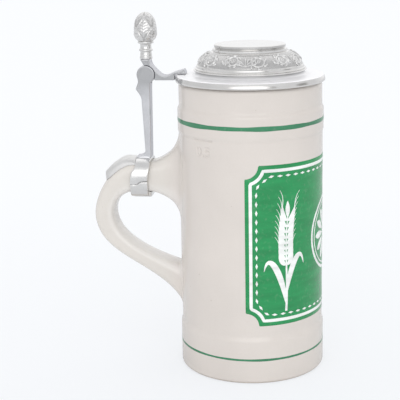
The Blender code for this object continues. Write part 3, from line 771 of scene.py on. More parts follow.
def turned_pewter(look):
    """Pewter off the lathe: fine rings about the lid's axis and a cloudy bloom.

    The flange's top is satin. Painted shade darkens the cove under the mouldings and the side of the crown.
    """
    material, tree, surface = new_material("turned_pewter")
    place = object_place(tree)
    flat = scaled(tree, place, (1.0, 1.0, 0.0))
    radius = node(tree, "VectorMath", {0: flat}, operation="LENGTH").outputs["Value"]
    level = axes(tree, place)["Z"]
    along = calculate(tree, "ADD", radius, level)
    rows = {"W": along, "Scale": 1.0 / (0.35 * MM), "Detail": 3.0}
    rings = node(tree, "TexNoise", rows, noise_dimensions="1D").outputs["Fac"]
    bloom = noise(tree, place, size=13 * MM, detail=4.0)
    tone = clouded(tree, bloom, 0.35, 0.7, look.bright, 0.95, 1.03)
    tone = blend(tree, between(tree, rings, 0, 0.10, 0.45, 0.8), tone, shade(look.patina_and_shade, 1.6))
    rough = between(tree, calculate(tree, "ADD", rings, bloom), 0.08, 0.17, 0.7, 1.3)
    below_lip = between(tree, level, 1.0, 0.0, MOULDING_START - 0.15 * MM, MOULDING_START + 0.05 * MM)
    satin = between(tree, level, 0.0, 1.0, FLANGE_TOP - 0.6 * MM, FLANGE_TOP - 0.2 * MM)
    satin = calculate(tree, "MULTIPLY", satin, below_lip)
    rough = calculate(tree, "MAXIMUM", rough, between(tree, satin, 0.0, 0.36))
    tone = blend(tree, satin, tone, SATIN)
    metal = between(tree, satin, 1.0, 0.45)
    # Painted shade of the lip: the cove under the mouldings is darkened, most just under the lip
    lip_shade = between(tree, level, 0.0, 0.85, FLANGE_TOP + 0.7 * MM, MOULDING_START - 0.1 * MM)
    tone = blend(tree, calculate(tree, "MULTIPLY", below_lip, lip_shade), tone, shade(look.patina_and_shade))
    # Painted shade on the side of the crown, in a band from just under its top edge down about 2 mm
    below_top = calculate(tree, "SUBTRACT", LID_HIGH.z, level)
    edge = between(tree, below_top, 0.0, 0.29, 0.25 * MM, 0.5 * MM)
    edge = calculate(tree, "MULTIPLY", edge, between(tree, below_top, 1.0, 0.0, 1.9 * MM, 2.3 * MM))
    tone = blend(tree, edge, tone, shade(look.patina_and_shade))
    relief = bump(tree, rings, depth=0.012 * MM, strength=0.4)
    connect(tree, surface, Base_Color=tone, Roughness=rough, Metallic=metal, Normal=relief)
    return material


def cast_pewter(name, look):
    """Cast and rubbed pewter: a fine pebbly skin and a cloudy tone.

    Where a piece has recesses some tarnish stays in them. Above the strap's barb the hinge's cheeks have the
    handled tone.
    """
    base_name, tarnish, dullness, handled = CASTINGS[name]
    material, tree, surface = new_material(name, Metallic=1.0)
    place = object_place(tree)
    cloud = noise(tree, place, size=7 * MM, detail=4.0)
    skin = noise(tree, place, size=0.55 * MM, detail=3.0)
    base = shade(getattr(look, base_name))
    if handled:
        facing = axes(tree, node(tree, "TexCoord").outputs["Normal"])["Y"]
        cheek = between(tree, calculate(tree, "ABSOLUTE", facing, 0.0), 0.0, 1.0, 0.75, 0.97)
        above = between(tree, axes(tree, place)["Z"], 0.0, 1.0, HINGE_Z - 13 * MM, HINGE_Z - 4 * MM)
        base = blend(tree, calculate(tree, "MULTIPLY", above, cheek), base, shade(look.handled))
        surface.inputs["Specular Tint"].default_value = EDGE_TINT
    tone = blend(tree, between(tree, cloud, 0.10, 0.0, 0.32, 0.6), base, shade(look.patina_and_shade))
    tone = blend(tree, between(tree, skin, 0.0, 0.10, 0.5, 0.8), tone, shade(look.patina_and_shade, 1.5))
    if tarnish:
        hollow = recess_value(tree)
        stain = calculate(tree, "MULTIPLY", hollow, between(tree, skin, 0.45, 1.0, 0.25, 0.6))
        tone = blend(tree, between(tree, stain, 0.0, tarnish), tone, shade(look.patina_and_shade))
    rough = between(tree, calculate(tree, "ADD", cloud, skin), 0.13 + dullness, 0.25 + dullness, 0.7, 1.3)
    relief = bump(tree, skin, depth=0.03 * MM, strength=0.5)
    connect(tree, surface, Base_Color=tone, Roughness=rough, Normal=relief)
    return material


def pin_steel(value):
    """Drawn steel: fine lines along the pin and a slight stain."""
    material, tree, surface = new_material("drawn_steel", Metallic=1.0)
    place = object_place(tree)
    stretched = node(tree, "Mapping", {"Vector": place, "Scale": (1.0, 0.1, 1.0)}).outputs["Vector"]
    lines = noise(tree, stretched, size=0.2 * MM, detail=3.0)
    stain = noise(tree, place, size=1.5 * MM, detail=3.0)
    tone = clouded(tree, stain, 0.35, 0.7, value, 0.8, 1.1)
    rough = between(tree, lines, 0.25, 0.42, 0.3, 0.7)
    relief = bump(tree, lines, depth=0.02 * MM, strength=0.4)
    connect(tree, surface, Base_Color=tone, Roughness=rough, Normal=relief)
    return material


def floor_paper(value):
    """Matt white paper with a barely cloudy tone, which the camera sees lit from behind for the most part."""
    material, tree, surface = new_material("floor_paper", Roughness=0.8, Specular_IOR_Level=0.1)
    place = object_place(tree)
    tone = clouded(tree, noise(tree, place, size=0.6, detail=2.0), 0.3, 0.7, value, 0.995, 1.005)
    rays = node(tree, "LightPath").outputs
    tone = blend(tree, rays["Is Glossy Ray"], tone, shade(value, FLOOR_SEEN))
    tone = blend(tree, rays["Is Camera Ray"], tone, shade(value, FLOOR_SHOWN))
    connect(tree, surface, Base_Color=tone)
    far = between(tree, axes(tree, place)["Y"], 0.0, 1.0, -0.2, 0.4)
    backdrop = blend(tree, far, FLOOR_NEAR, BACKDROP)
    glow = node(tree, "Emission", {"Color": backdrop}).outputs["Emission"]
    share = calculate(tree, "MULTIPLY", rays["Is Camera Ray"], FLOOR_GLOW)
    mixed = node(tree, "MixShader", {"Fac": share})
    tree.links.new(surface.outputs["BSDF"], mixed.inputs[1])
    tree.links.new(glow, mixed.inputs[2])
    tree.links.new(mixed.outputs["Shader"], tree.nodes["Material Output"].inputs["Surface"])
    return material


def finish(name, build, *values):
    """The material of that name, built on its first use."""
    return bpy.data.materials.get(name) or build(*values)


def paint(colour_name, look):
    """The enamel of that colour."""
    name = f"{colour_name}_enamel"
    return finish(name, enamel, name, getattr(look, colour_name), look.glaze)


def casting(name, look):
    """The cast pewter of that name."""
    return finish(name, cast_pewter, name, look)


def wall_radius(height, angle, wave):
    """The outer wall: foot, wall, collar and neck joined by smooth steps, with the waves of the wheel."""
    foot = FOOT_STEP * (1 - smooth_step((height - FOOT_HEIGHT) / STEP_BLEND))
    collar = COLLAR_STEP * smooth_step((height - COLLAR_BOTTOM + STEP_BLEND) / STEP_BLEND)
    neck = (COLLAR_STEP + NECK_STEP) * smooth_step((height - COLLAR_TOP) / STEP_BLEND)
    ripple = np.sin(height / (4.7 * MM) + 2 * np.sin(angle))
    roll = np.sin(3 * angle + height / (17 * MM))
    return BODY_RADIUS + foot + collar - neck + wave * (0.6 * ripple + 0.4 * roll - 1)


def stroke_distance(across, up, line):
    """Distance of each point of a plane from a line of straight pieces."""
    nearest = np.full(across.shape, np.inf)
    for (x0, z0), (x1, z1) in zip(line[:-1], line[1:]):
        span = (x1 - x0) ** 2 + (z1 - z0) ** 2
        share = np.clip(((across - x0) * (x1 - x0) + (up - z0) * (z1 - z0)) / span, 0, 1)
        nearest = np.minimum(nearest, np.hypot(across - x0 - share * (x1 - x0), up - z0 - share * (z1 - z0)))
    return nearest


def mark_lines():
    """The fill line and a plain 0.5 below it, in millimetres from the mark's start and the digits' foot."""
    naught = arc((0, 0), 1, 90, 450, 25) * (1.4, 2.3) + (1.5, 2.4)
    bowl = arc((7.2, 1.6), 1.55, 125, -140, 16)
    five = np.vstack([(8.6, 4.7), (6.5, 4.7), bowl])
    point = np.array([(4.4, 0.2), (4.4, 0.45)])
    digits = [line * MM + (DIGIT_START, 0) for line in (naught, point, five)]
    level = MARK_HEIGHT - DIGIT_FOOT
    return [np.array([(0, level), (MARK_LENGTH, level)])] + digits


def mark_dent(height, angle, depth):
    """Depth pressed into the wall: deepest along the strokes and level with the wall half a stroke away."""
    across = (angle - MARK_START) * BODY_RADIUS
    up = height - DIGIT_FOOT
    nearest = np.minimum.reduce([stroke_distance(across, up, line) for line in mark_lines()])
    return depth * smooth_step(1.25 - nearest / MARK_STROKE)


def mug_wall(look):
    """The turned mug, from its floor over its lip to its base, on a finer grid about the fill mark.

    The radius of the outer wall depends on height and angle, and the rest is a plain turn.
    """
    mark_end = MARK_START + (MARK_LENGTH + MARK_MARGIN) / BODY_RADIUS
    mark_begin = MARK_START - MARK_MARGIN / BODY_RADIUS
    fine = np.arange(mark_begin, mark_end, MARK_GRID / BODY_RADIUS)
    coarse = np.linspace(mark_end, mark_begin + math.tau, 216, endpoint=False)
    angles = np.concatenate([fine, coarse])
    lip = MUG_HIGH.z - LIP_ROUND
    mark_top, mark_foot = MARK_HEIGHT + 1.0 * MM, DIGIT_FOOT - 0.8 * MM
    upper = np.linspace(lip, mark_top + MARK_GRID, 34)
    pressed = np.arange(mark_top, mark_foot, -MARK_GRID)
    lower = np.linspace(mark_foot - MARK_GRID, LIP_ROUND, 92)
    outer = np.concatenate([upper, pressed, lower])
    inside = np.vstack(
        [
            np.column_stack([np.linspace(0, INNER_RADIUS - FLOOR_FILLET, 9)[:-1], np.full(8, FLOOR)]),
            arc((INNER_RADIUS - FLOOR_FILLET, FLOOR + FLOOR_FILLET), FLOOR_FILLET, -90, 0, 10),
            np.column_stack([np.full(8, INNER_RADIUS), np.linspace(FLOOR + FLOOR_FILLET, lip, 10)[1:-1]]),
            arc((INNER_RADIUS + LIP_ROUND, lip), LIP_ROUND, 180, 90, 8),
            arc((NECK_RADIUS - LIP_ROUND, lip), LIP_ROUND, 90, 0, 8)[:-1],
        ]
    )
    foot = MUG_HIGH.x
    ring = foot - BASE_RING
    base = np.vstack(
        [
            arc((foot - LIP_ROUND, LIP_ROUND), LIP_ROUND, 0, -90, 9)[1:],
            (ring, 0),
            (ring - BASE_RECESS, BASE_RECESS),
            (ring / 2, BASE_RECESS),
            (0, BASE_RECESS),
        ]
    )
    profile = np.vstack([inside, np.column_stack([np.full(len(outer), BODY_RADIUS), outer]), base])
    height = outer[:, None]
    dent = np.zeros((len(profile) - 2, len(angles)))
    rows = slice(len(inside) - 1, len(inside) - 1 + len(outer))
    true_radius = wall_radius(height, angles, look.wave) - mark_dent(height, angles, look.mark)
    dent[rows] = BODY_RADIUS - true_radius
    return turned(profile, angles, dent)


def handle_lines(count):
    """The handle's back and front lines and its width, with so many points to each of its three stretches."""
    buried = -WALL / 2
    root_back, root_front = (
        quarter((SEAT_START, seat), (buried, seat + rise), ROOT_CURVE, count)[::-1]
        for seat, rise in ((SEAT_TOP, ROOT_RISE), (SEAT_BOTTOM, -ROOT_FALL))
    )
    outer, inner = (BEND_REACH, BEND_HEIGHT), (BEND_REACH - BEND_DEPTH, BEND_HEIGHT)
    bend_back = quarter((SEAT_END, SEAT_TOP), outer, BEND_CURVE, count)
    bend_front = quarter((SEAT_END, SEAT_BOTTOM), inner, 1, count)
    arm_back, arm_front = (
        bezier(bend, (bend[0], knee), toe, (buried, foot), count)
        for bend, knee, toe, foot in (
            (outer, BACK_KNEE, BACK_TOE, BACK_FOOT),
            (inner, FRONT_KNEE, FRONT_TOE, FRONT_FOOT),
        )
    )
    back = np.vstack([root_back, bend_back, arm_back[1:]])
    front = np.vstack([root_front, bend_front, arm_front[1:]])
    flare = ROOT_FLARE * np.linspace(1, 0, count)
    taper = ARM_TAPER * np.sin(np.pi * np.linspace(0, 1, count))[1:]
    width = HANDLE_WIDTH + np.concatenate([flare, np.zeros(count), -taper])
    return back, front, width


def handle_sections(count):
    """Middle points, outward directions, half depths and half widths of the handle's sections."""
    back, front, width = handle_lines(count)
    middle = (back + front) / 2
    half_depth = np.linalg.norm(back - front, axis=1) / 2
    outwards = (back - middle) / half_depth[:, None]
    middle = np.column_stack([middle[:, 0] + BODY_RADIUS, middle[:, 1]]) * (-1, 1)
    return middle, outwards * (-1, 1), half_depth, width / 2


def squared_round(count):
    """One turn of a superellipse of unit half sizes: its outward and sideways shares."""
    angle = even_angles(count)
    power = 2 / HANDLE_SQUARENESS
    outwards = np.sign(np.cos(angle)) * np.abs(np.cos(angle)) ** power
    sideways = np.sign(np.sin(angle)) * np.abs(np.sin(angle)) ** power
    return outwards, sideways


def section_rise(share):
    """How far the handle's section rises at a share of its half width: (1 - s^n)^(1/n) of its half depth."""
    return (1 - np.abs(share) ** HANDLE_SQUARENESS) ** (1 / HANDLE_SQUARENESS)


def mug_handle(look):
    """Rounded sections carried along the handle, flared where they near the wall.

    A point at distance d from the wall, nearer than the fillet F, moves out from its section's middle by
    F (1 - sqrt(1 - (1 - d/F)^2)), which meets the wall level, and keeps its distance from the wall. The inner
    side is marked for painted light in the glaze.
    """
    middle, outwards, half_depth, half_width = handle_sections(90)
    out_share, side_share = squared_round(112)
    fillet = np.where(np.arange(len(middle)) < len(middle) / 2, look.upper_root, look.lower_root)[:, None]
    lift = half_depth[:, None] * out_share
    x = middle[:, 0, None] + outwards[:, 0, None] * lift
    z = middle[:, 1, None] + outwards[:, 1, None] * lift
    y = half_width[:, None] * side_share
    from_wall = np.hypot(x, y) - BODY_RADIUS
    nearness = np.clip(1 - from_wall / fillet, 0, 1)
    push = fillet * (1 - np.sqrt(1 - nearness**2))
    reach = np.hypot(out_share, side_share)
    y = y + push * side_share / reach
    z = z + push * outwards[:, 1, None] * out_share / reach
    axis_distance = BODY_RADIUS + from_wall
    x = -np.sqrt(np.maximum(axis_distance**2 - y**2, 0))
    # Share of painted light in the glaze on the handle's inner side
    inner_painted_light = np.broadcast_to(smooth_step((-out_share - 0.2) / 0.6), x.shape)
    return lofted(np.stack([x, y, z], axis=-1)), np.append(inner_painted_light.ravel(), (0, 0))


def painted_ring(height, width, look):
    """A line of paint round the wall, a flat arch in section, whose width and level waver with the brush."""
    angle = even_angles(240)[:, None]
    share = np.array([-1.0, -0.8, -0.4, 0.0, 0.4, 0.8, 1.0, 0.0])
    cover = np.array([-0.6, 0.7, 1.0, 1.0, 1.0, 0.7, -0.6, -1.5])
    brush = 1 + 0.10 * np.sin(5 * angle + height / MM) + 0.07 * np.sin(13 * angle)
    level = height + 0.12 * MM * np.sin(2 * angle + 1) + share * brush * width / 2
    radius = wall_radius(level, angle, look.wave) + cover * look.paint
    return looped(wound(radius, angle, level))


def on_wall(points, look):
    """Points along the wall, up it and off it, bent round the mug."""
    angle = points[:, 0] / BODY_RADIUS
    height = points[:, 1] + PANEL_MIDDLE
    return wound(wall_radius(height, angle, look.wave) + points[:, 2], angle, height)


def scalloped(inset):
    """A rectangle with hollow round corners, that far inside the panel's edge.

    One corner is an arc about the rectangle's own corner, and the other three are its mirror images.
    """
    reach = PANEL_SCALLOP + inset
    leg = math.sqrt(reach**2 - inset**2)
    bend = np.linspace(math.atan2(-leg, -inset), math.atan2(-inset, -leg) if inset else -math.pi, 14)
    corner = np.column_stack([PANEL_HALF + reach * np.cos(bend), PANEL_HALF_HEIGHT + reach * np.sin(bend)])
    flipped = corner[::-1] * (-1, 1)
    return spaced(np.vstack([corner, flipped, -corner, -flipped]), 1.0 * MM, closed=True)


def painted_field(look):
    """The panel's ground: its edge drawn towards its middle in rings, over a sunk underside."""
    edge = scalloped(0.0)
    share = np.concatenate([np.linspace(0.1, 1, 12), [1, FIELD_EDGE], np.linspace(1, 0.02, 46)[2:]])
    cover = np.concatenate([np.full(12, -1.5), [0.3], np.ones(45)]) * look.paint
    rings = np.concatenate([edge * s for s in share]).reshape(len(share), len(edge), 2)
    rings = np.dstack([rings, np.broadcast_to(cover[:, None], rings.shape[:2])])
    points, faces = capped(rings, (0, 0, cover[0]), (0, 0, cover[-1]))
    return on_wall(points, look), faces


def brush_stroke(path, half_width, look, closed=False):
    """A raised stroke: across each point of a path stands a flat arch of that half width."""
    along = ways(path, closed)
    across = np.column_stack([-along[:, 1], along[:, 0]])
    share = np.array([-1.0, -0.82, 0.0, 0.82, 1.0, 0.0])
    cover = np.array([0.5, 1.75, 2.0, 1.75, 0.5, -1.0]) * look.paint
    width = np.broadcast_to(half_width, len(path))[:, None, None]
    flat = path[:, None] + width * share[:, None] * across[:, None]
    rings = np.dstack([flat, np.broadcast_to(cover, flat.shape[:2])])
    points, faces = looped(rings) if closed else lofted(rings)
    return on_wall(points, look), faces


def swelling(count, fullest, power=1.0):
    """A width that grows from nothing to 1 at its fullest place and shrinks to nothing again."""
    t = np.linspace(0.02, 0.98, count)
    return np.sin(np.pi * t ** (math.log(0.5) / math.log(fullest))) ** power


def barley_sprig(foot, look):
    """A barley ear on its stalk, drawn in millimetres off its foot.

    Paired grains with long beards go up the stem, and two blades bend out at its foot.
    """
    stem = bezier((0, 0), (1.5, 22), (-1.5, 34), (1.0, 54), 34)
    strokes = [(stem, np.linspace(0.75, 0.35, 34))]
    grain_width = 1.5 * swelling(13, 0.45, 0.8)
    beard_width = np.linspace(0.28, 0.10, 10)
    ear = slice(16, 33, 2)
    for place, up in zip(stem[ear], ways(stem)[ear]):
        for side in (-1, 1):
            across = side * np.array([up[1], -up[0]])
            tip = place + 7.6 * up + 3.9 * across
            grain = bezier(place, place + 2.6 * across, tip - 3 * up, tip, 13)
            beard = bezier(tip, tip + 3 * up, tip + 6 * up, tip + 9 * up + 2.6 * across, 10)
            strokes += [(grain, grain_width), (beard, beard_width)]
    crest = stem[-1] + np.linspace((0, 0), (0, 9), 13)
    strokes.append((crest, grain_width))
    for side, low, reach, top in ((-1, 4, 13, 34), (1, 9, 12, 31)):
        bend = bezier((0, 0), (2, 16), (0.8 * reach, top), (reach, top - 14), 26)
        strokes.append((bend * (side, 1) + (0, low), 1.9 * swelling(26, 0.42, 0.9)))
    return [brush_stroke(path * MM + foot, width * MM, look) for path, width in strokes]


def rosette(look):
    """Two rings round twelve petals and a small ring, in the middle of the panel."""
    circle = arc((0, 0), 1, 0, 360, 97)[:-1]
    rings = ((circle, 21.0, 0.9), (circle, 18.4, 0.4), (circle[::4], 2.2, 0.9))
    strokes = [brush_stroke(ring * radius * MM, width * MM, look, True) for ring, radius, width in rings]
    centre = strokes.pop()
    for turn in even_angles(12):
        ray = np.array([math.cos(turn), math.sin(turn)])
        petal = np.linspace(4.2, 16.4, 15)[:, None] * MM * ray
        strokes.append(brush_stroke(petal, 2.3 * MM * swelling(15, 0.62, 0.8), look))
    return strokes + [centre]


def panel_border(look):
    """A broad rule and a row of lozenges that follow the panel's edge."""
    rule = brush_stroke(scalloped(RULE_INSET), 0.95 * MM, look, True)
    places = spaced(scalloped(STITCH_INSET), STITCH_PITCH, closed=True)
    share = np.linspace(-1, 1, 7)
    width = 0.75 * MM * (1.02 - np.abs(share))
    reach = STITCH_REACH * share[:, None]
    along = ways(places, closed=True)
    return [rule] + [brush_stroke(place + reach * way, width, look) for place, way in zip(places, along)]


def panel_motifs(look):
    """All the white paint: the border, a barley sprig on either side and the rosette."""
    sprigs = [barley_sprig((reach, SPRIG_FOOT), look) for reach in (-SPRIG_REACH, SPRIG_REACH)]
    return joined(panel_border(look) + sprigs[0] + sprigs[1] + rosette(look))


def handle_band():
    """A ring round the handle's seat: a superellipse, thicker in its sole, whose outer face is a flat arch.

    On either side the strip leans away from the mug as it goes down, and only its sole is square again. On
    top it is narrower behind. On the near side its upper end swells out and laps over the lower one along an
    S-shaped seam, and the lower end swells a little beside it.
    """
    out_share, side_share = squared_round(560)
    share = np.sin(np.linspace(-math.pi / 2, math.pi / 2, 51))
    cover = np.concatenate([[0.0], (1 - np.abs(share) ** 12) ** (1 / 12), [0.0]])
    share = np.concatenate([[-1.0], share, [1.0]])
    middle = (BAND_BACK + BAND_HIGH.x) / 2
    along = BAND_WIDTH / 2 * share[:, None]
    sole = smooth_step(-out_share * 2.2)
    wall = BAND_THICKNESS + (BAND_SOLE - BAND_THICKNESS) * sole
    seat_half = (SEAT_TOP - SEAT_BOTTOM) / 2
    z_middle = (SEAT_TOP + SEAT_BOTTOM) / 2
    seam = SEAM_LEVEL + SEAM_SWING * np.tanh(along / SEAM_BEND)
    below = seam - seat_half * out_share
    under = smooth_step(0.5 + below / LAP_EDGE)
    lap = LAP_SWELL * smooth_step((0.85 - out_share) / 0.9) * (1 - under)
    lens = LENS_SWELL * np.clip(below / LENS_HEIGHT, 0, 1) * (1 - smooth_step(below / LENS_HEIGHT - 1))
    lens = lens * smooth_step((along + 1.0 * MM) / (1.5 * MM))
    groove = SEAM_GROOVE * np.exp(-(((below - GROOVE_DROP) / GROOVE_WIDTH) ** 2))
    near_side = side_share < -0.5
    thick = cover[:, None] * (wall + (lap + lens - groove) * near_side)
    z = z_middle + (seat_half + GAP + thick) * out_share
    y = (HANDLE_WIDTH / 2 + GAP + thick * BAND_THICKNESS / wall) * side_share
    lean = BAND_LEAN * smooth_step((0.85 - out_share) / 1.1) * smooth_step((out_share + 0.93) / 0.05)
    narrow = BAND_NARROW * smooth_step((out_share - 0.25) / 0.4) * (1 - share[:, None]) / 2
    recess = np.exp(-(((below - STAIN_DROP) / STAIN_WIDTH) ** 2)) * near_side * cover[:, None]
    return looped(np.stack([middle + along - lean + narrow, y, z], axis=-1)), recess.ravel()


def handle_leaf():
    """A cast leaf on the handle's bend: swollen in its middle, with a midrib and side veins pressed in.

    The sole follows the handle's section, and the back stands off it by the leaf's thickness, which grows
    towards the tip. There the back ends short of the sole, so that the blunt end slopes.
    """
    middle, outwards, half_depth, half_width = handle_sections(300)
    back_line = middle + outwards * half_depth[:, None]
    reached = travelled(back_line)
    share = np.linspace(0, 1, 110)
    band_end = BAND_BACK + BAND_NARROW - GAP
    place = np.interp(-band_end, -back_line[:600, 0], reached[:600]) + LEAF_LENGTH * share
    columns = np.column_stack([middle, outwards, half_depth, half_width]).T
    mid_x, mid_z, out_x, out_z, depth, width = (np.interp(place, reached, c)[:, None] for c in columns)
    side = np.cos(np.pi * np.arange(81) / 80)
    y = (width - LEAF_MARGIN) * np.sqrt(1 - (0.93 * share) ** 9)[:, None] * side
    sole = depth * section_rise(y / width) + GAP
    crown = np.sin(np.pi * share ** (math.log(0.5) / math.log(LEAF_PEAK)))[:, None]
    swell = crown * (1 - np.abs(side) ** 2.4)
    edge = LEAF_ROOT + LEAF_RISE * smooth_step(share / LEAF_PEAK) + LEAF_TIP * smooth_step(share * 2 - 1)
    edge = LEAF_RIM + (edge[:, None] - LEAF_RIM) * (1 - np.abs(side) ** 14) ** (1 / 2.2)
    vein = np.abs(np.sin(LEAF_VEIN_COUNT * np.pi * (share[:, None] - LEAF_VEIN_SLANT * np.abs(side) + 0.1)))
    rib = np.exp(-((side / 0.07) ** 2))
    inside = smooth_step((1 - np.abs(side)) * 4)
    carved = swell * smooth_step(1 - vein / 0.35) * (1 - rib) * inside
    back = sole + edge + LEAF_SWELL * swell + LEAF_RIB * rib * crown - LEAF_VEIN * carved
    lift = np.hstack([sole, back[:, ::-1]])
    tipward = smooth_step((share - 0.6) / 0.4)[:, None]
    curl = LEAF_CURL * tipward * np.hstack([0 * sole, (back - sole)[:, ::-1]])
    x = mid_x + out_x * lift - out_z * curl
    z = mid_z + out_z * lift + out_x * curl
    rings = np.stack([x, np.hstack([y, y[:, ::-1]]), z], axis=-1)
    hollow = np.hstack([np.zeros_like(sole), carved[:, ::-1]])
    return lofted(rings), np.append(hollow.ravel(), (0, 0))


def off(origin, *points):
    """Points given in millimetres off an origin."""
    return np.array(points) * MM + origin


def lid_profile():
    """Crown, sunk seat of the frieze, a broad moulding, two beads, cove, flange and hollow underside."""
    top, rim = LID_HIGH.z, LID_HIGH.x
    levels = MOULDING_START + MOULDING_PITCH * np.arange(3)
    broad = DOME_FOOT - 2 * MOULDING_STEP
    stretches = [
        off((CROWN_RADIUS, top), (-5.0, 0.0), (-0.4, 0.0), (0.0, -0.4)),
        off((CROWN_RADIUS, top), (0.0, -1.2), (-0.4, -2.1), (0.9, -2.5)),
        off((CROWN_RADIUS, DOME_TOP), (0.9, 0.4), (0.6, -0.1)),
        off((FRIEZE_TOP_RADIUS, DOME_TOP), (0.0, -0.4)),
        off((FRIEZE_FOOT_RADIUS, FRIEZE_FOOT), (-0.5, 0.2)),
        off((broad, FRIEZE_FOOT), (-0.62, 0.05), (-0.26, -0.02), (-0.15, -0.15)),
        off((broad, levels[2]), (-0.05, -0.10), (0.0, -0.50), (-0.10, -0.62)),
    ]
    for level in (1, 0):
        radius = DOME_FOOT - MOULDING_STEP * level
        middle = (1 - BEAD_SINK) * levels[level] + BEAD_SINK * levels[0] + BEAD_LIFT
        bead = arc((radius - BEAD_RADIUS, middle), BEAD_RADIUS, 85, -80, 9)
        stretches += [off((radius, bead[0][1]), (-0.44, 0.04)), bead]
    neck = DOME_FOOT - NECK_DEPTH
    stretches += [
        quarter((neck + MOULDING_COVE, FLANGE_TOP), (neck, levels[0] - 0.15 * MM), 1, 12)[::-1],
        off((rim, FLANGE_TOP), (-1.6, 0.0), (-1.0, -0.05), (-0.65, -0.35), (-0.25, -1.5)),
        off((rim, LID_LOW.z), (-0.05, 1.3), (0.0, 0.8), (-0.15, 0.3), (-0.7, 0.0)),
    ]
    detail = cut_corners(spaced(np.vstack(stretches), 0.2 * MM), 1)
    disc = np.column_stack([np.linspace(0, CROWN_RADIUS - 6 * MM, 6), np.full(6, top)])
    hollow = quarter((0, top - LID_WALL), (neck - LID_WALL, LID_LOW.z + LID_WALL), 0.8, 20)[::-1]
    return np.vstack([disc, detail, (INNER_RADIUS, LID_LOW.z), hollow])


def ball_relief(across, up, strokes, wrap):
    """The highest of sqrt(r^2 - d^2) over balls of radius r rolled along lines that repeat every wrap."""
    height = np.zeros(np.broadcast(across, up).shape)
    for line, radii in strokes:
        for (x, z), radius in zip(line, np.broadcast_to(radii, len(line))):
            aside = (across - x + wrap / 2) % wrap - wrap / 2
            height = np.maximum(height, np.sqrt(np.clip(radius**2 - aside**2 - (up - z) ** 2, 0, None)))
    return height


def frieze_scroll(middle, turn):
    """One plume of the frieze in millimetres: a stem that winds in to a flower, feathered with curled leaves.

    The stem's distance from its middle shrinks evenly while it turns a little more than once. Turn is 1 or -1
    for a plume that passes over its middle or under it.
    """
    middle = np.array(middle)
    share = np.linspace(0, 1, 60)
    angle = np.pi + turn * (0.5 - share * SCROLL_TURNS * math.tau)
    ray = np.column_stack([np.cos(angle), np.sin(angle)])
    stem = middle + (SCROLL_REACH - SCROLL_WIND * share)[:, None] * ray
    onward = ways(stem)
    strokes = [(stem, np.linspace(0.62, 0.40, 60))]
    for start in range(1, 58, 7):
        reach = PLUME_LEAF * (1 - 0.6 * share[start])
        root, way, ahead = stem[start], ray[start], onward[start]
        tip = root + reach * (0.62 * way + 0.95 * ahead)
        leaf = bezier(root, root + 0.6 * reach * way, tip - 0.45 * reach * ahead, tip, 14)
        strokes.append((leaf, 0.08 + 0.58 * swelling(14, 0.5)))
    petals = arc((0, 0), 0.78, 0, 288, 5) + middle
    return strokes + [(petals, 0.45), (middle[None], 0.4)]


def frieze_fan(foot):
    """A fan of five slender leaves in millimetres, which stands on a foot."""
    foot = np.array(foot)
    strokes = []
    for lean in np.radians((-62, -32, 0, 32, 62)):
        way = np.array([math.sin(lean), math.cos(lean)])
        tip = foot + (FAN_LEAF - 2.0 * abs(lean)) * way + (1.5 * lean, 0)
        leaf = bezier(foot, foot + 2.2 * way, tip - (0, 1.2), tip, 16)
        strokes.append((leaf, 0.08 + 0.42 * swelling(16, 0.55)))
    return strokes


def lid_frieze(look):
    """The cast frieze: a quarter-round band with scrolls raised along its normals.

    One cell of relief, two plumes and the fan between them, is worked out and repeated round the lid. The
    ground is sunk by half the relief.
    """
    cell = math.tau * FRIEZE_MIDDLE / MM / look.repeats
    curve = quarter((FRIEZE_TOP_RADIUS, DOME_TOP), (FRIEZE_FOOT_RADIUS, FRIEZE_FOOT), FRIEZE_CURVE, 78)[::-1]
    tangent = ways(curve)
    normal = np.column_stack([tangent[:, 1], -tangent[:, 0]])
    up = travelled(curve)[:, None] / MM
    across = np.linspace(0, cell, FRIEZE_COLUMNS // look.repeats, endpoint=False)
    half = 0.45 * up[-1, 0]
    strokes = frieze_scroll((cell / 4, half), 1) + frieze_scroll((3 * cell / 4, half), -1)
    strokes += frieze_fan((cell / 2, half - 3.0))
    relief = ball_relief(across, up, strokes, cell)
    edge = smooth_step(up / 0.6) * smooth_step((up[-1] - up) / 0.6)
    relief = np.tile(np.clip(relief / FULL_RELIEF, 0, 1) * edge, look.repeats)
    lift = (relief - 0.5 * edge) * look.relief
    radius = curve[:, 0, None] + normal[:, 0, None] * lift
    height = curve[:, 1, None] + normal[:, 1, None] * lift
    inner_radius = np.array([FRIEZE_TOP_RADIUS - 0.8 * MM, FRIEZE_FOOT_RADIUS - 1.2 * MM])
    inner_height = np.array([DOME_TOP - 1.0 * MM, FRIEZE_FOOT + 0.1 * MM])
    angles = even_angles(relief.shape[1])
    radius = np.vstack([radius, np.tile(inner_radius[:, None], len(angles))])
    height = np.vstack([height, np.tile(inner_height[:, None], len(angles))])
    recess = np.vstack([smooth_step(1 - relief / FRIEZE_SHADE) * edge, np.zeros((2, len(angles)))])
    return looped(wound(radius, angles, height)), recess.ravel()


def strap_outline():
    """Eye, barb, tapering stem and flared foot, off the hinge axis, in millimetres."""
    front, back, stem_back = ((x - HINGE_X) / MM for x in (BAND_HIGH.x, STRAP_BACK, STEM_BACK))
    foot = (STRAP_FOOT - HINGE_Z) / MM
    flare_foot = foot + FLARE_FOOT / MM
    flare_top = flare_foot + FLARE_RISE / MM
    eye = arc((0, 0), EYE_RADIUS / MM, -60, 205, 60)
    barb = [(-4.52, -4.16), (-5.9, -8.0)]
    knots = [(-5.35, -9.1), (-4.0, -10.97), (-2.9, -13.4), (-2.61, -17.2), (stem_back, flare_top)]
    stem = smooth_through(knots, 60)
    flare = quarter((back, flare_foot), (stem_back, flare_top), 1, 20)[::-1]
    outline = np.vstack([eye, barb, stem[:-1], flare, (back, foot), (front, foot), (2.3, -8.0)])
    return cut_corners(spaced(outline, 0.45, closed=True), 2, closed=True) * MM


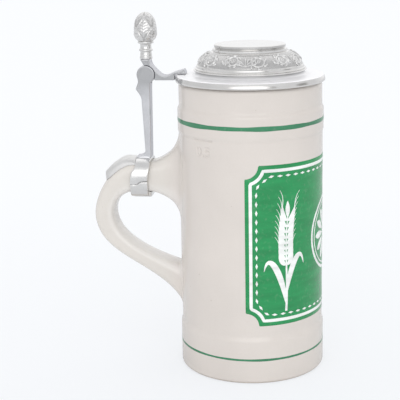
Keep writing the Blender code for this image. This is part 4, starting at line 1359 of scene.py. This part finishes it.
def strap_foot():
    """The cast fillet round the strap's foot: rounded oblongs that spread with (1 - h)^2 towards the band.

    The lowest follows the band's arch.
    """
    share = np.linspace(0, 1, 24)[:, None]
    rise = FOOT_RISE * share
    front = BAND_HIGH.x - FOOT_TUCK
    back = STRAP_BACK + 2 * FOOT_TUCK
    hollow = np.sqrt(1 - (1 - np.clip(rise - FLARE_FOOT, 0, None) / FLARE_RISE) ** 2)
    left = back + (STEM_BACK - back) * hollow
    angle = even_angles(80)
    along, aside = (np.sign(wave) * np.abs(wave) ** 0.3 for wave in (np.cos(angle), np.sin(angle)))
    x = (left + front) / 2 + (front - left) / 2 * along
    y = (HINGE_HALF - FOOT_TUCK + FOOT_SPREAD * (1 - share) ** 2) * aside
    band_half = HANDLE_WIDTH / 2 + GAP + BAND_THICKNESS
    sag = (BAND_HIGH.z - BAND_LOW.z) / 2 * (1 - section_rise(y / band_half)) + FOOT_SINK
    z = STRAP_FOOT + rise - sag * (1 - share)
    return lofted(np.stack([x, y, z], axis=-1))


def shank_outline():
    """Post, hollow sweep, arm and tongue, closed round the hinge's knuckle, off its axis, in millimetres."""
    rim = (-LID_HIGH.x - GAP - HINGE_X) / MM
    flange = (FLANGE_TOP + GAP - HINGE_Z) / MM
    bend = arc((0, 0), SHANK_BEND / MM, 58, 23, 2)
    arm = [(8.13, 0.4), (9.77, -0.41), (12.1, -0.5), (rim - 0.3, flange + 0.9)]
    sweep = smooth_through([(2.3, 8.7), *bend, *arm], 90)
    tongue = [(rim + 5.4, flange + 2.5), (rim + 6.4, flange), (rim, flange), (rim, -3.1)]
    knuckle = arc((0, 0), EYE_RADIUS / MM, -29, -260, 60)
    outline = np.vstack([(-2.8, 8.7), sweep, tongue, (5.6, -3.1), knuckle])
    return cut_corners(spaced(outline, 0.4, closed=True), 2, closed=True) * MM


def hinge_pin():
    """A pin across the hinge with low domed ends."""
    dome = arc((0, 0), 1, 90, 20, 7) * (PIN_RADIUS, PIN_DOME)
    end = dome + (0, HINGE_HALF - PIN_DOME)
    side = [(PIN_RADIUS, HINGE_HALF - PIN_SHOULDER), (PIN_RADIUS, PIN_SHOULDER - HINGE_HALF)]
    points, faces = turned(np.vstack([end, side, end[::-1] * (1, -1)]), even_angles(48))
    return on_hinge(points), faces


def lift_stem():
    """The turned stem of the thumb lift: a base disc, a waist, a bead, a neck and a ring under the cone."""
    ring = arc((3.8, 9.2), 0.8, 90, -90, 14)
    bead = arc((3.15, 4.8), 0.8, 85, -85, 14)
    neck = quarter((3.6, 8.3), (3.1, 6.9), 1, 6)
    waist = quarter((3.2, 3.1), (3.35, 1.5), 1, 6)
    outline = [(0, 10.4), (3.6, 10.4), *ring, *neck, (3.2, 5.9), *bead, (3.15, 3.8), *waist]
    disc = [(3.4, 1.15), (3.6, 0.9), (3.6, 0.0), (3.5, -0.32), (0, -0.32)]
    profile = cut_corners(np.array(outline + disc), 1) * MM + (0, LIFT_LOW.z)
    points, faces = turned(profile, even_angles(96))
    return points + (HINGE_X, 0, 0), faces


def leaf_relief(share, angle):
    """Rows of pointed leaves, each row half a leaf round from the last, as a relief of 0 to 1.

    A leaf climbs from its root to its tip, thickest at its rim, and falls to the row behind it. Where rows
    lap the highest shows. A rib runs up each leaf's middle, with side veins that slant up to its rim.
    """
    relief = np.zeros((len(share), len(angle)))
    for row in range(-1, math.floor(CONE_ROWS)):
        turns = angle * CONE_LEAVES / math.tau + 0.5 * ((row + 1) % 2)
        aside = np.abs(2 * (turns - np.floor(turns)) - 1)
        tip = (row + 1 + CONE_POINT * (1 - aside**1.4)) / CONE_ROWS
        root = (row - CONE_LAP) / CONE_ROWS
        rise = (share[:, None] - root) / (tip - root)
        blade = np.clip(rise, 0, 1)
        rib = CONE_RIB * np.exp(-((aside / 0.07) ** 2))
        wave = np.abs(np.sin(math.pi * (CONE_VEIN_COUNT * blade - CONE_VEIN_SLANT * aside))) - 0.6
        vein = CONE_VEIN * wave * np.clip(1.15 - aside, 0, 1)
        rim = CONE_RIM * np.exp(-(((rise - 0.93) / 0.04) ** 2))
        climb = CONE_CLIMB * blade + np.sqrt(blade) * (rib + vein) + rim
        fall = np.clip((1.04 - rise) / 0.04, 0, 1)
        relief = np.maximum(relief, np.where(rise > 0, climb * fall, 0))
    return np.clip(relief, 0, 1)


def lift_cone(look):
    """An egg clad in leaves: half an ellipse below its belly and half above it, with the relief on top.

    What lies lower than the relief round it, blurred in ever wider steps, is a recess.
    """
    share = 0.5 - 0.5 * np.cos(np.pi * np.linspace(0.0, 0.985, 230))
    angle = even_angles(304)
    below = CONE_TUCK * np.clip(CONE_BELLY - share, 0, None) / CONE_BELLY
    above = np.clip(share - CONE_BELLY, 0, None) / (1 - CONE_BELLY)
    egg = CONE_RADIUS * np.sqrt(1 - below**2) * np.sqrt(1 - above**2)
    relief = leaf_relief(share, angle)
    radius = egg[:, None] + look.scale * (2 * relief - 1) * np.clip(egg / CONE_RADIUS, 0.25, 1)[:, None]
    foot = LIFT_LOW.z + STEM_HEIGHT
    rings = wound(radius, angle, (foot + (LIFT_HIGH.z - foot) * share)[:, None]) + (HINGE_X, 0, 0)
    around = relief
    for step in (2, 5, 10):
        for axis in (0, 1):
            around = (np.roll(around, step, axis) + 2 * around + np.roll(around, -step, axis)) / 4
    recess = smooth_step((around - relief) / CONE_SHADE)
    return capped(rings, (HINGE_X, 0, foot), (HINGE_X, 0, LIFT_HIGH.z)), np.append(recess.ravel(), (0, 0))


class STEIN_OT_body(bpy.types.Operator):
    """Turn the stoneware mug with its pressed fill mark"""

    bl_idname = "stein.body"
    bl_label = "Mug Body"

    def execute(self, context):
        look = context.scene.stein.stoneware
        clay = finish("glazed_stoneware", glazed_stoneware, look)
        add_piece("mug_wall", mug_wall(look), clay, MUG, "mug_body")
        return {"FINISHED"}


class STEIN_OT_handle(bpy.types.Operator):
    """Draw the handle and flare its roots into the wall"""

    bl_idname = "stein.handle"
    bl_label = "Handle"

    def execute(self, context):
        look = context.scene.stein.stoneware
        clay = finish("glazed_stoneware", glazed_stoneware, look)
        handle, inner_painted_light = mug_handle(look)
        add_piece("mug_handle", handle, clay, MUG, "mug_body", inner_painted_light)
        return {"FINISHED"}


class STEIN_OT_lines(bpy.types.Operator):
    """Paint the two green lines round the mug"""

    bl_idname = "stein.lines"
    bl_label = "Painted Lines"

    def execute(self, context):
        look = context.scene.stein.stoneware
        green = paint("line", look)
        add_piece("upper_line", painted_ring(UPPER_LINE_HEIGHT, look.upper_line, look), green, MUG)
        add_piece("lower_line", painted_ring(LOWER_LINE_HEIGHT, look.lower_line, look), green, MUG)
        return {"FINISHED"}


class STEIN_OT_panel(bpy.types.Operator):
    """Paint the green panel with its border, barley sprigs and rosette"""

    bl_idname = "stein.panel"
    bl_label = "Painted Panel"

    def execute(self, context):
        look = context.scene.stein.stoneware
        add_piece("panel_field", painted_field(look), paint("green", look), MUG)
        add_piece("panel_motifs", panel_motifs(look), paint("white", look), MUG)
        return {"FINISHED"}


class STEIN_OT_band(bpy.types.Operator):
    """Bend the band round the handle and set the leaf behind it"""

    bl_idname = "stein.band"
    bl_label = "Band and Leaf"

    def execute(self, context):
        look = context.scene.stein.pewter
        band, seam = handle_band()
        seamed = casting("seamed_pewter", look)
        add_piece("band_ring", band, seamed, MUG, "handle_band", seam)
        leaf, hollow = handle_leaf()
        matt = casting("leaf_pewter", look)
        add_piece("leaf_rest", leaf, matt, MUG, "handle_leaf", hollow)
        return {"FINISHED"}


class STEIN_OT_hinge(bpy.types.Operator):
    """Cast the strap, the lid's shank and the pin of the hinge"""

    bl_idname = "stein.hinge"
    bl_label = "Hinge"

    def execute(self, context):
        look = context.scene.stein.pewter
        worn = casting("hinge_pewter", look)
        shape = joined([plate(strap_outline(), look.ease), strap_foot()])
        strap = add_piece("hinge_strap", shape, worn, MUG, "strap")
        cut_round(strap, EYE_ROOM, -SLOT_HALF, SLOT_HALF)
        shape = plate(shank_outline(), look.ease)
        shank = add_piece("hinge_shank", shape, worn, LID_BODY, "lid_shank")
        for low, high in ((-2 * HINGE_HALF, -KNUCKLE_HALF), (KNUCKLE_HALF, 2 * HINGE_HALF)):
            cut_round(shank, EYE_ROOM, low, high)
        cut_round(shank, PIN_RADIUS + GAP, -2 * HINGE_HALF, 2 * HINGE_HALF)
        steel = finish("drawn_steel", pin_steel, look.steel)
        add_piece("hinge_rod", hinge_pin(), steel, MUG, "hinge_pin")
        return {"FINISHED"}


class STEIN_OT_lid(bpy.types.Operator):
    """Turn the lid and raise its frieze of scrolls"""

    bl_idname = "stein.lid"
    bl_label = "Lid"

    def execute(self, context):
        look = context.scene.stein.pewter
        bright = finish("turned_pewter", turned_pewter, look)
        turning = turned(lid_profile(), even_angles(192))
        add_piece("lid_turning", turning, bright, LID_BODY, "lid")
        frieze, recess = lid_frieze(look)
        carved = casting("relief_pewter", look)
        add_piece("lid_frieze", frieze, carved, LID_BODY, "lid", recess)
        return {"FINISHED"}


class STEIN_OT_thumb_lift(bpy.types.Operator):
    """Turn the thumb lift's stem and clad its cone in leaves"""

    bl_idname = "stein.thumb_lift"
    bl_label = "Thumb Lift"

    def execute(self, context):
        look = context.scene.stein.pewter
        smooth, carved = casting("cast_pewter", look), casting("relief_pewter", look)
        add_piece("lift_stem", lift_stem(), smooth, LID_BODY, "thumb_lift")
        cone, recess = lift_cone(look)
        add_piece("lift_cone", cone, carved, LID_BODY, "thumb_lift", recess)
        return {"FINISHED"}


def add_lamp(name, strength, spread, tilt, heading):
    """A wide soft lamp far off, tilted from overhead towards a heading, which metal doesn't mirror."""
    lamp = bpy.data.lights.new(name, "SUN")
    lamp.energy = strength
    lamp.angle = math.radians(spread)
    placed = bpy.data.objects.new(name, lamp)
    placed.rotation_euler = (math.radians(tilt), 0.0, math.radians(heading))
    placed.visible_glossy = False
    bpy.context.scene.collection.objects.link(placed)


def soft_patch(tree, place, way, edge):
    """1 near a way and 0 away from it, with a soft edge between two cosines of the angle off it."""
    unit = node(tree, "VectorMath", {0: place}, operation="NORMALIZE").outputs["Vector"]
    towards = node(tree, "VectorMath", {0: unit, 1: way}, operation="DOT_PRODUCT").outputs["Value"]
    return between(tree, towards, 0.0, 1.0, *edge)


def studio_world(fill):
    """Pale walls, dark cloths, a window and a ceiling to light the stein, and a backdrop for the camera."""
    world = bpy.data.worlds.new("studio")
    world.use_nodes = True
    tree = world.node_tree
    rays = node(tree, "LightPath").outputs
    seen = calculate(tree, "MAXIMUM", rays["Is Camera Ray"], rays["Is Glossy Ray"])
    seen = calculate(tree, "MAXIMUM", seen, rays["Is Transmission Ray"])
    place = node(tree, "TexCoord").outputs["Generated"]
    way = axes(tree, place)
    right = between(tree, way["X"], 0.0, 1.0, 0.35, 0.85)
    left = between(tree, way["X"], 1.0, 0.0, -0.85, -0.35)
    overhead = between(tree, way["Z"], 0.0, 1.0, WALL_TOP, WALL_TOP + WALL_BLEND)
    behind = between(tree, way["Y"], 0.0, 1.0, -0.2, 0.5)
    walls = blend(tree, right, blend(tree, behind, FRONT_GREY, WALL_WHITE), RIGHT_GREY)
    walls = blend(tree, left, walls, LEFT_GREY)
    level = scaled(tree, place, (1.0, 1.0, 0.0))
    for heading, edge in FLAGS:
        across = (math.sin(math.radians(heading)), -math.cos(math.radians(heading)), 0.0)
        low = between(tree, way["Z"], 1.0, 0.0, *FLAG_TOP)
        flag = calculate(tree, "MULTIPLY", soft_patch(tree, level, across, edge), low)
        walls = blend(tree, flag, walls, FLAG_GREY)
    room = blend(tree, overhead, walls, blend(tree, behind, CEILING_GREY, CEILING_WHITE))
    wide = scaled(tree, place, WINDOW_SHAPE)
    room = blend(tree, soft_patch(tree, wide, WINDOW_WAY, WINDOW_EDGE), room, WINDOW_WHITE)
    sky = tree.nodes["Background"]
    tree.links.new(blend(tree, rays["Is Camera Ray"], room, BACKDROP), sky.inputs["Color"])
    tree.links.new(between(tree, seen, fill, 1.0), sky.inputs["Strength"])
    bpy.context.scene.world = world


def lay_floor(value):
    """A wide flat disc of rings, ever further apart, round a small disc in their middle."""
    reach = np.concatenate([[FLOOR_HUB], np.geomspace(5 * FLOOR_HUB, FLOOR_REACH, 12)])
    angles = even_angles(64)
    rows, columns = len(reach), len(angles)
    points = wound(reach[:, None], angles, 0.0).reshape(-1, 3)
    hub = list(range(columns))
    mesh = bpy.data.meshes.new("floor")
    mesh.from_pydata(points, [], quads(rows, columns)[:, ::-1].tolist() + [hub])
    mesh.materials.append(finish("floor_paper", floor_paper, value))
    floor = bpy.data.objects.new("floor", mesh)
    bpy.context.scene.collection.objects.link(floor)


def set_camera(lens):
    """The camera at the view that the stein is looked at from, turned by heading, tilt and roll."""
    camera = bpy.data.cameras.new("camera")
    camera.sensor_width = SENSOR_WIDTH
    camera.lens = lens
    camera.clip_start = CLIP_START
    placed = bpy.data.objects.new("camera", camera)
    heading = Matrix.Rotation(CAMERA_HEADING, 4, "Z")
    tilt = Matrix.Rotation(math.pi / 2 - CAMERA_TILT, 4, "X")
    roll = Matrix.Rotation(CAMERA_ROLL, 4, "Z")
    placed.matrix_world = Matrix.Translation(CAMERA_PLACE) @ heading @ tilt @ roll
    bpy.context.scene.collection.objects.link(placed)
    bpy.context.scene.camera = placed


class STEIN_OT_stage(bpy.types.Operator):
    """Lay the floor, hang the lamps and set the camera"""

    bl_idname = "stein.stage"
    bl_label = "Stage"

    def execute(self, context):
        look = context.scene.stein.stage
        lay_floor(look.floor)
        studio_world(look.fill)
        add_lamp("top_lamp", look.top, *TOP_LAMP)
        add_lamp("key_lamp", look.key, *KEY_LAMP)
        context.scene.view_settings.view_transform = "Standard"
        set_camera(look.lens)
        return {"FINISHED"}


class STEIN_PT_tools(bpy.types.Panel):
    """The stein's pieces and settings"""

    bl_idname = "STEIN_PT_tools"
    bl_label = "Stein"
    bl_space_type = "VIEW_3D"
    bl_region_type = "UI"
    bl_category = "Stein"

    def draw(self, context):
        for operator in OPERATORS:
            self.layout.operator(operator.bl_idname)
        for group in (context.scene.stein.stoneware, context.scene.stein.pewter, context.scene.stein.stage):
            for name in group.__annotations__:
                self.layout.prop(group, name)


OPERATORS = (
    STEIN_OT_body,
    STEIN_OT_handle,
    STEIN_OT_lines,
    STEIN_OT_panel,
    STEIN_OT_band,
    STEIN_OT_hinge,
    STEIN_OT_lid,
    STEIN_OT_thumb_lift,
    STEIN_OT_stage,
)
CLASSES = (SteinStoneware, SteinPewter, SteinStage, SteinSettings, *OPERATORS, STEIN_PT_tools)


def register():
    """Adds the classes and the scene's settings to Blender."""
    for made in CLASSES:
        bpy.utils.register_class(made)
    bpy.types.Scene.stein = bpy.props.PointerProperty(type=SteinSettings)


def unregister():
    """Takes the settings and the classes away again."""
    del bpy.types.Scene.stein
    for made in reversed(CLASSES):
        bpy.utils.unregister_class(made)


def main():
    """Builds every piece and the stage."""
    register()
    bpy.ops.stein.body()
    bpy.ops.stein.handle()
    bpy.ops.stein.lines()
    bpy.ops.stein.panel()
    bpy.ops.stein.band()
    bpy.ops.stein.hinge()
    bpy.ops.stein.lid()
    bpy.ops.stein.thumb_lift()
    bpy.ops.stein.stage()
    bpy.context.view_layer.update()


if __name__ == "__main__":
    main()
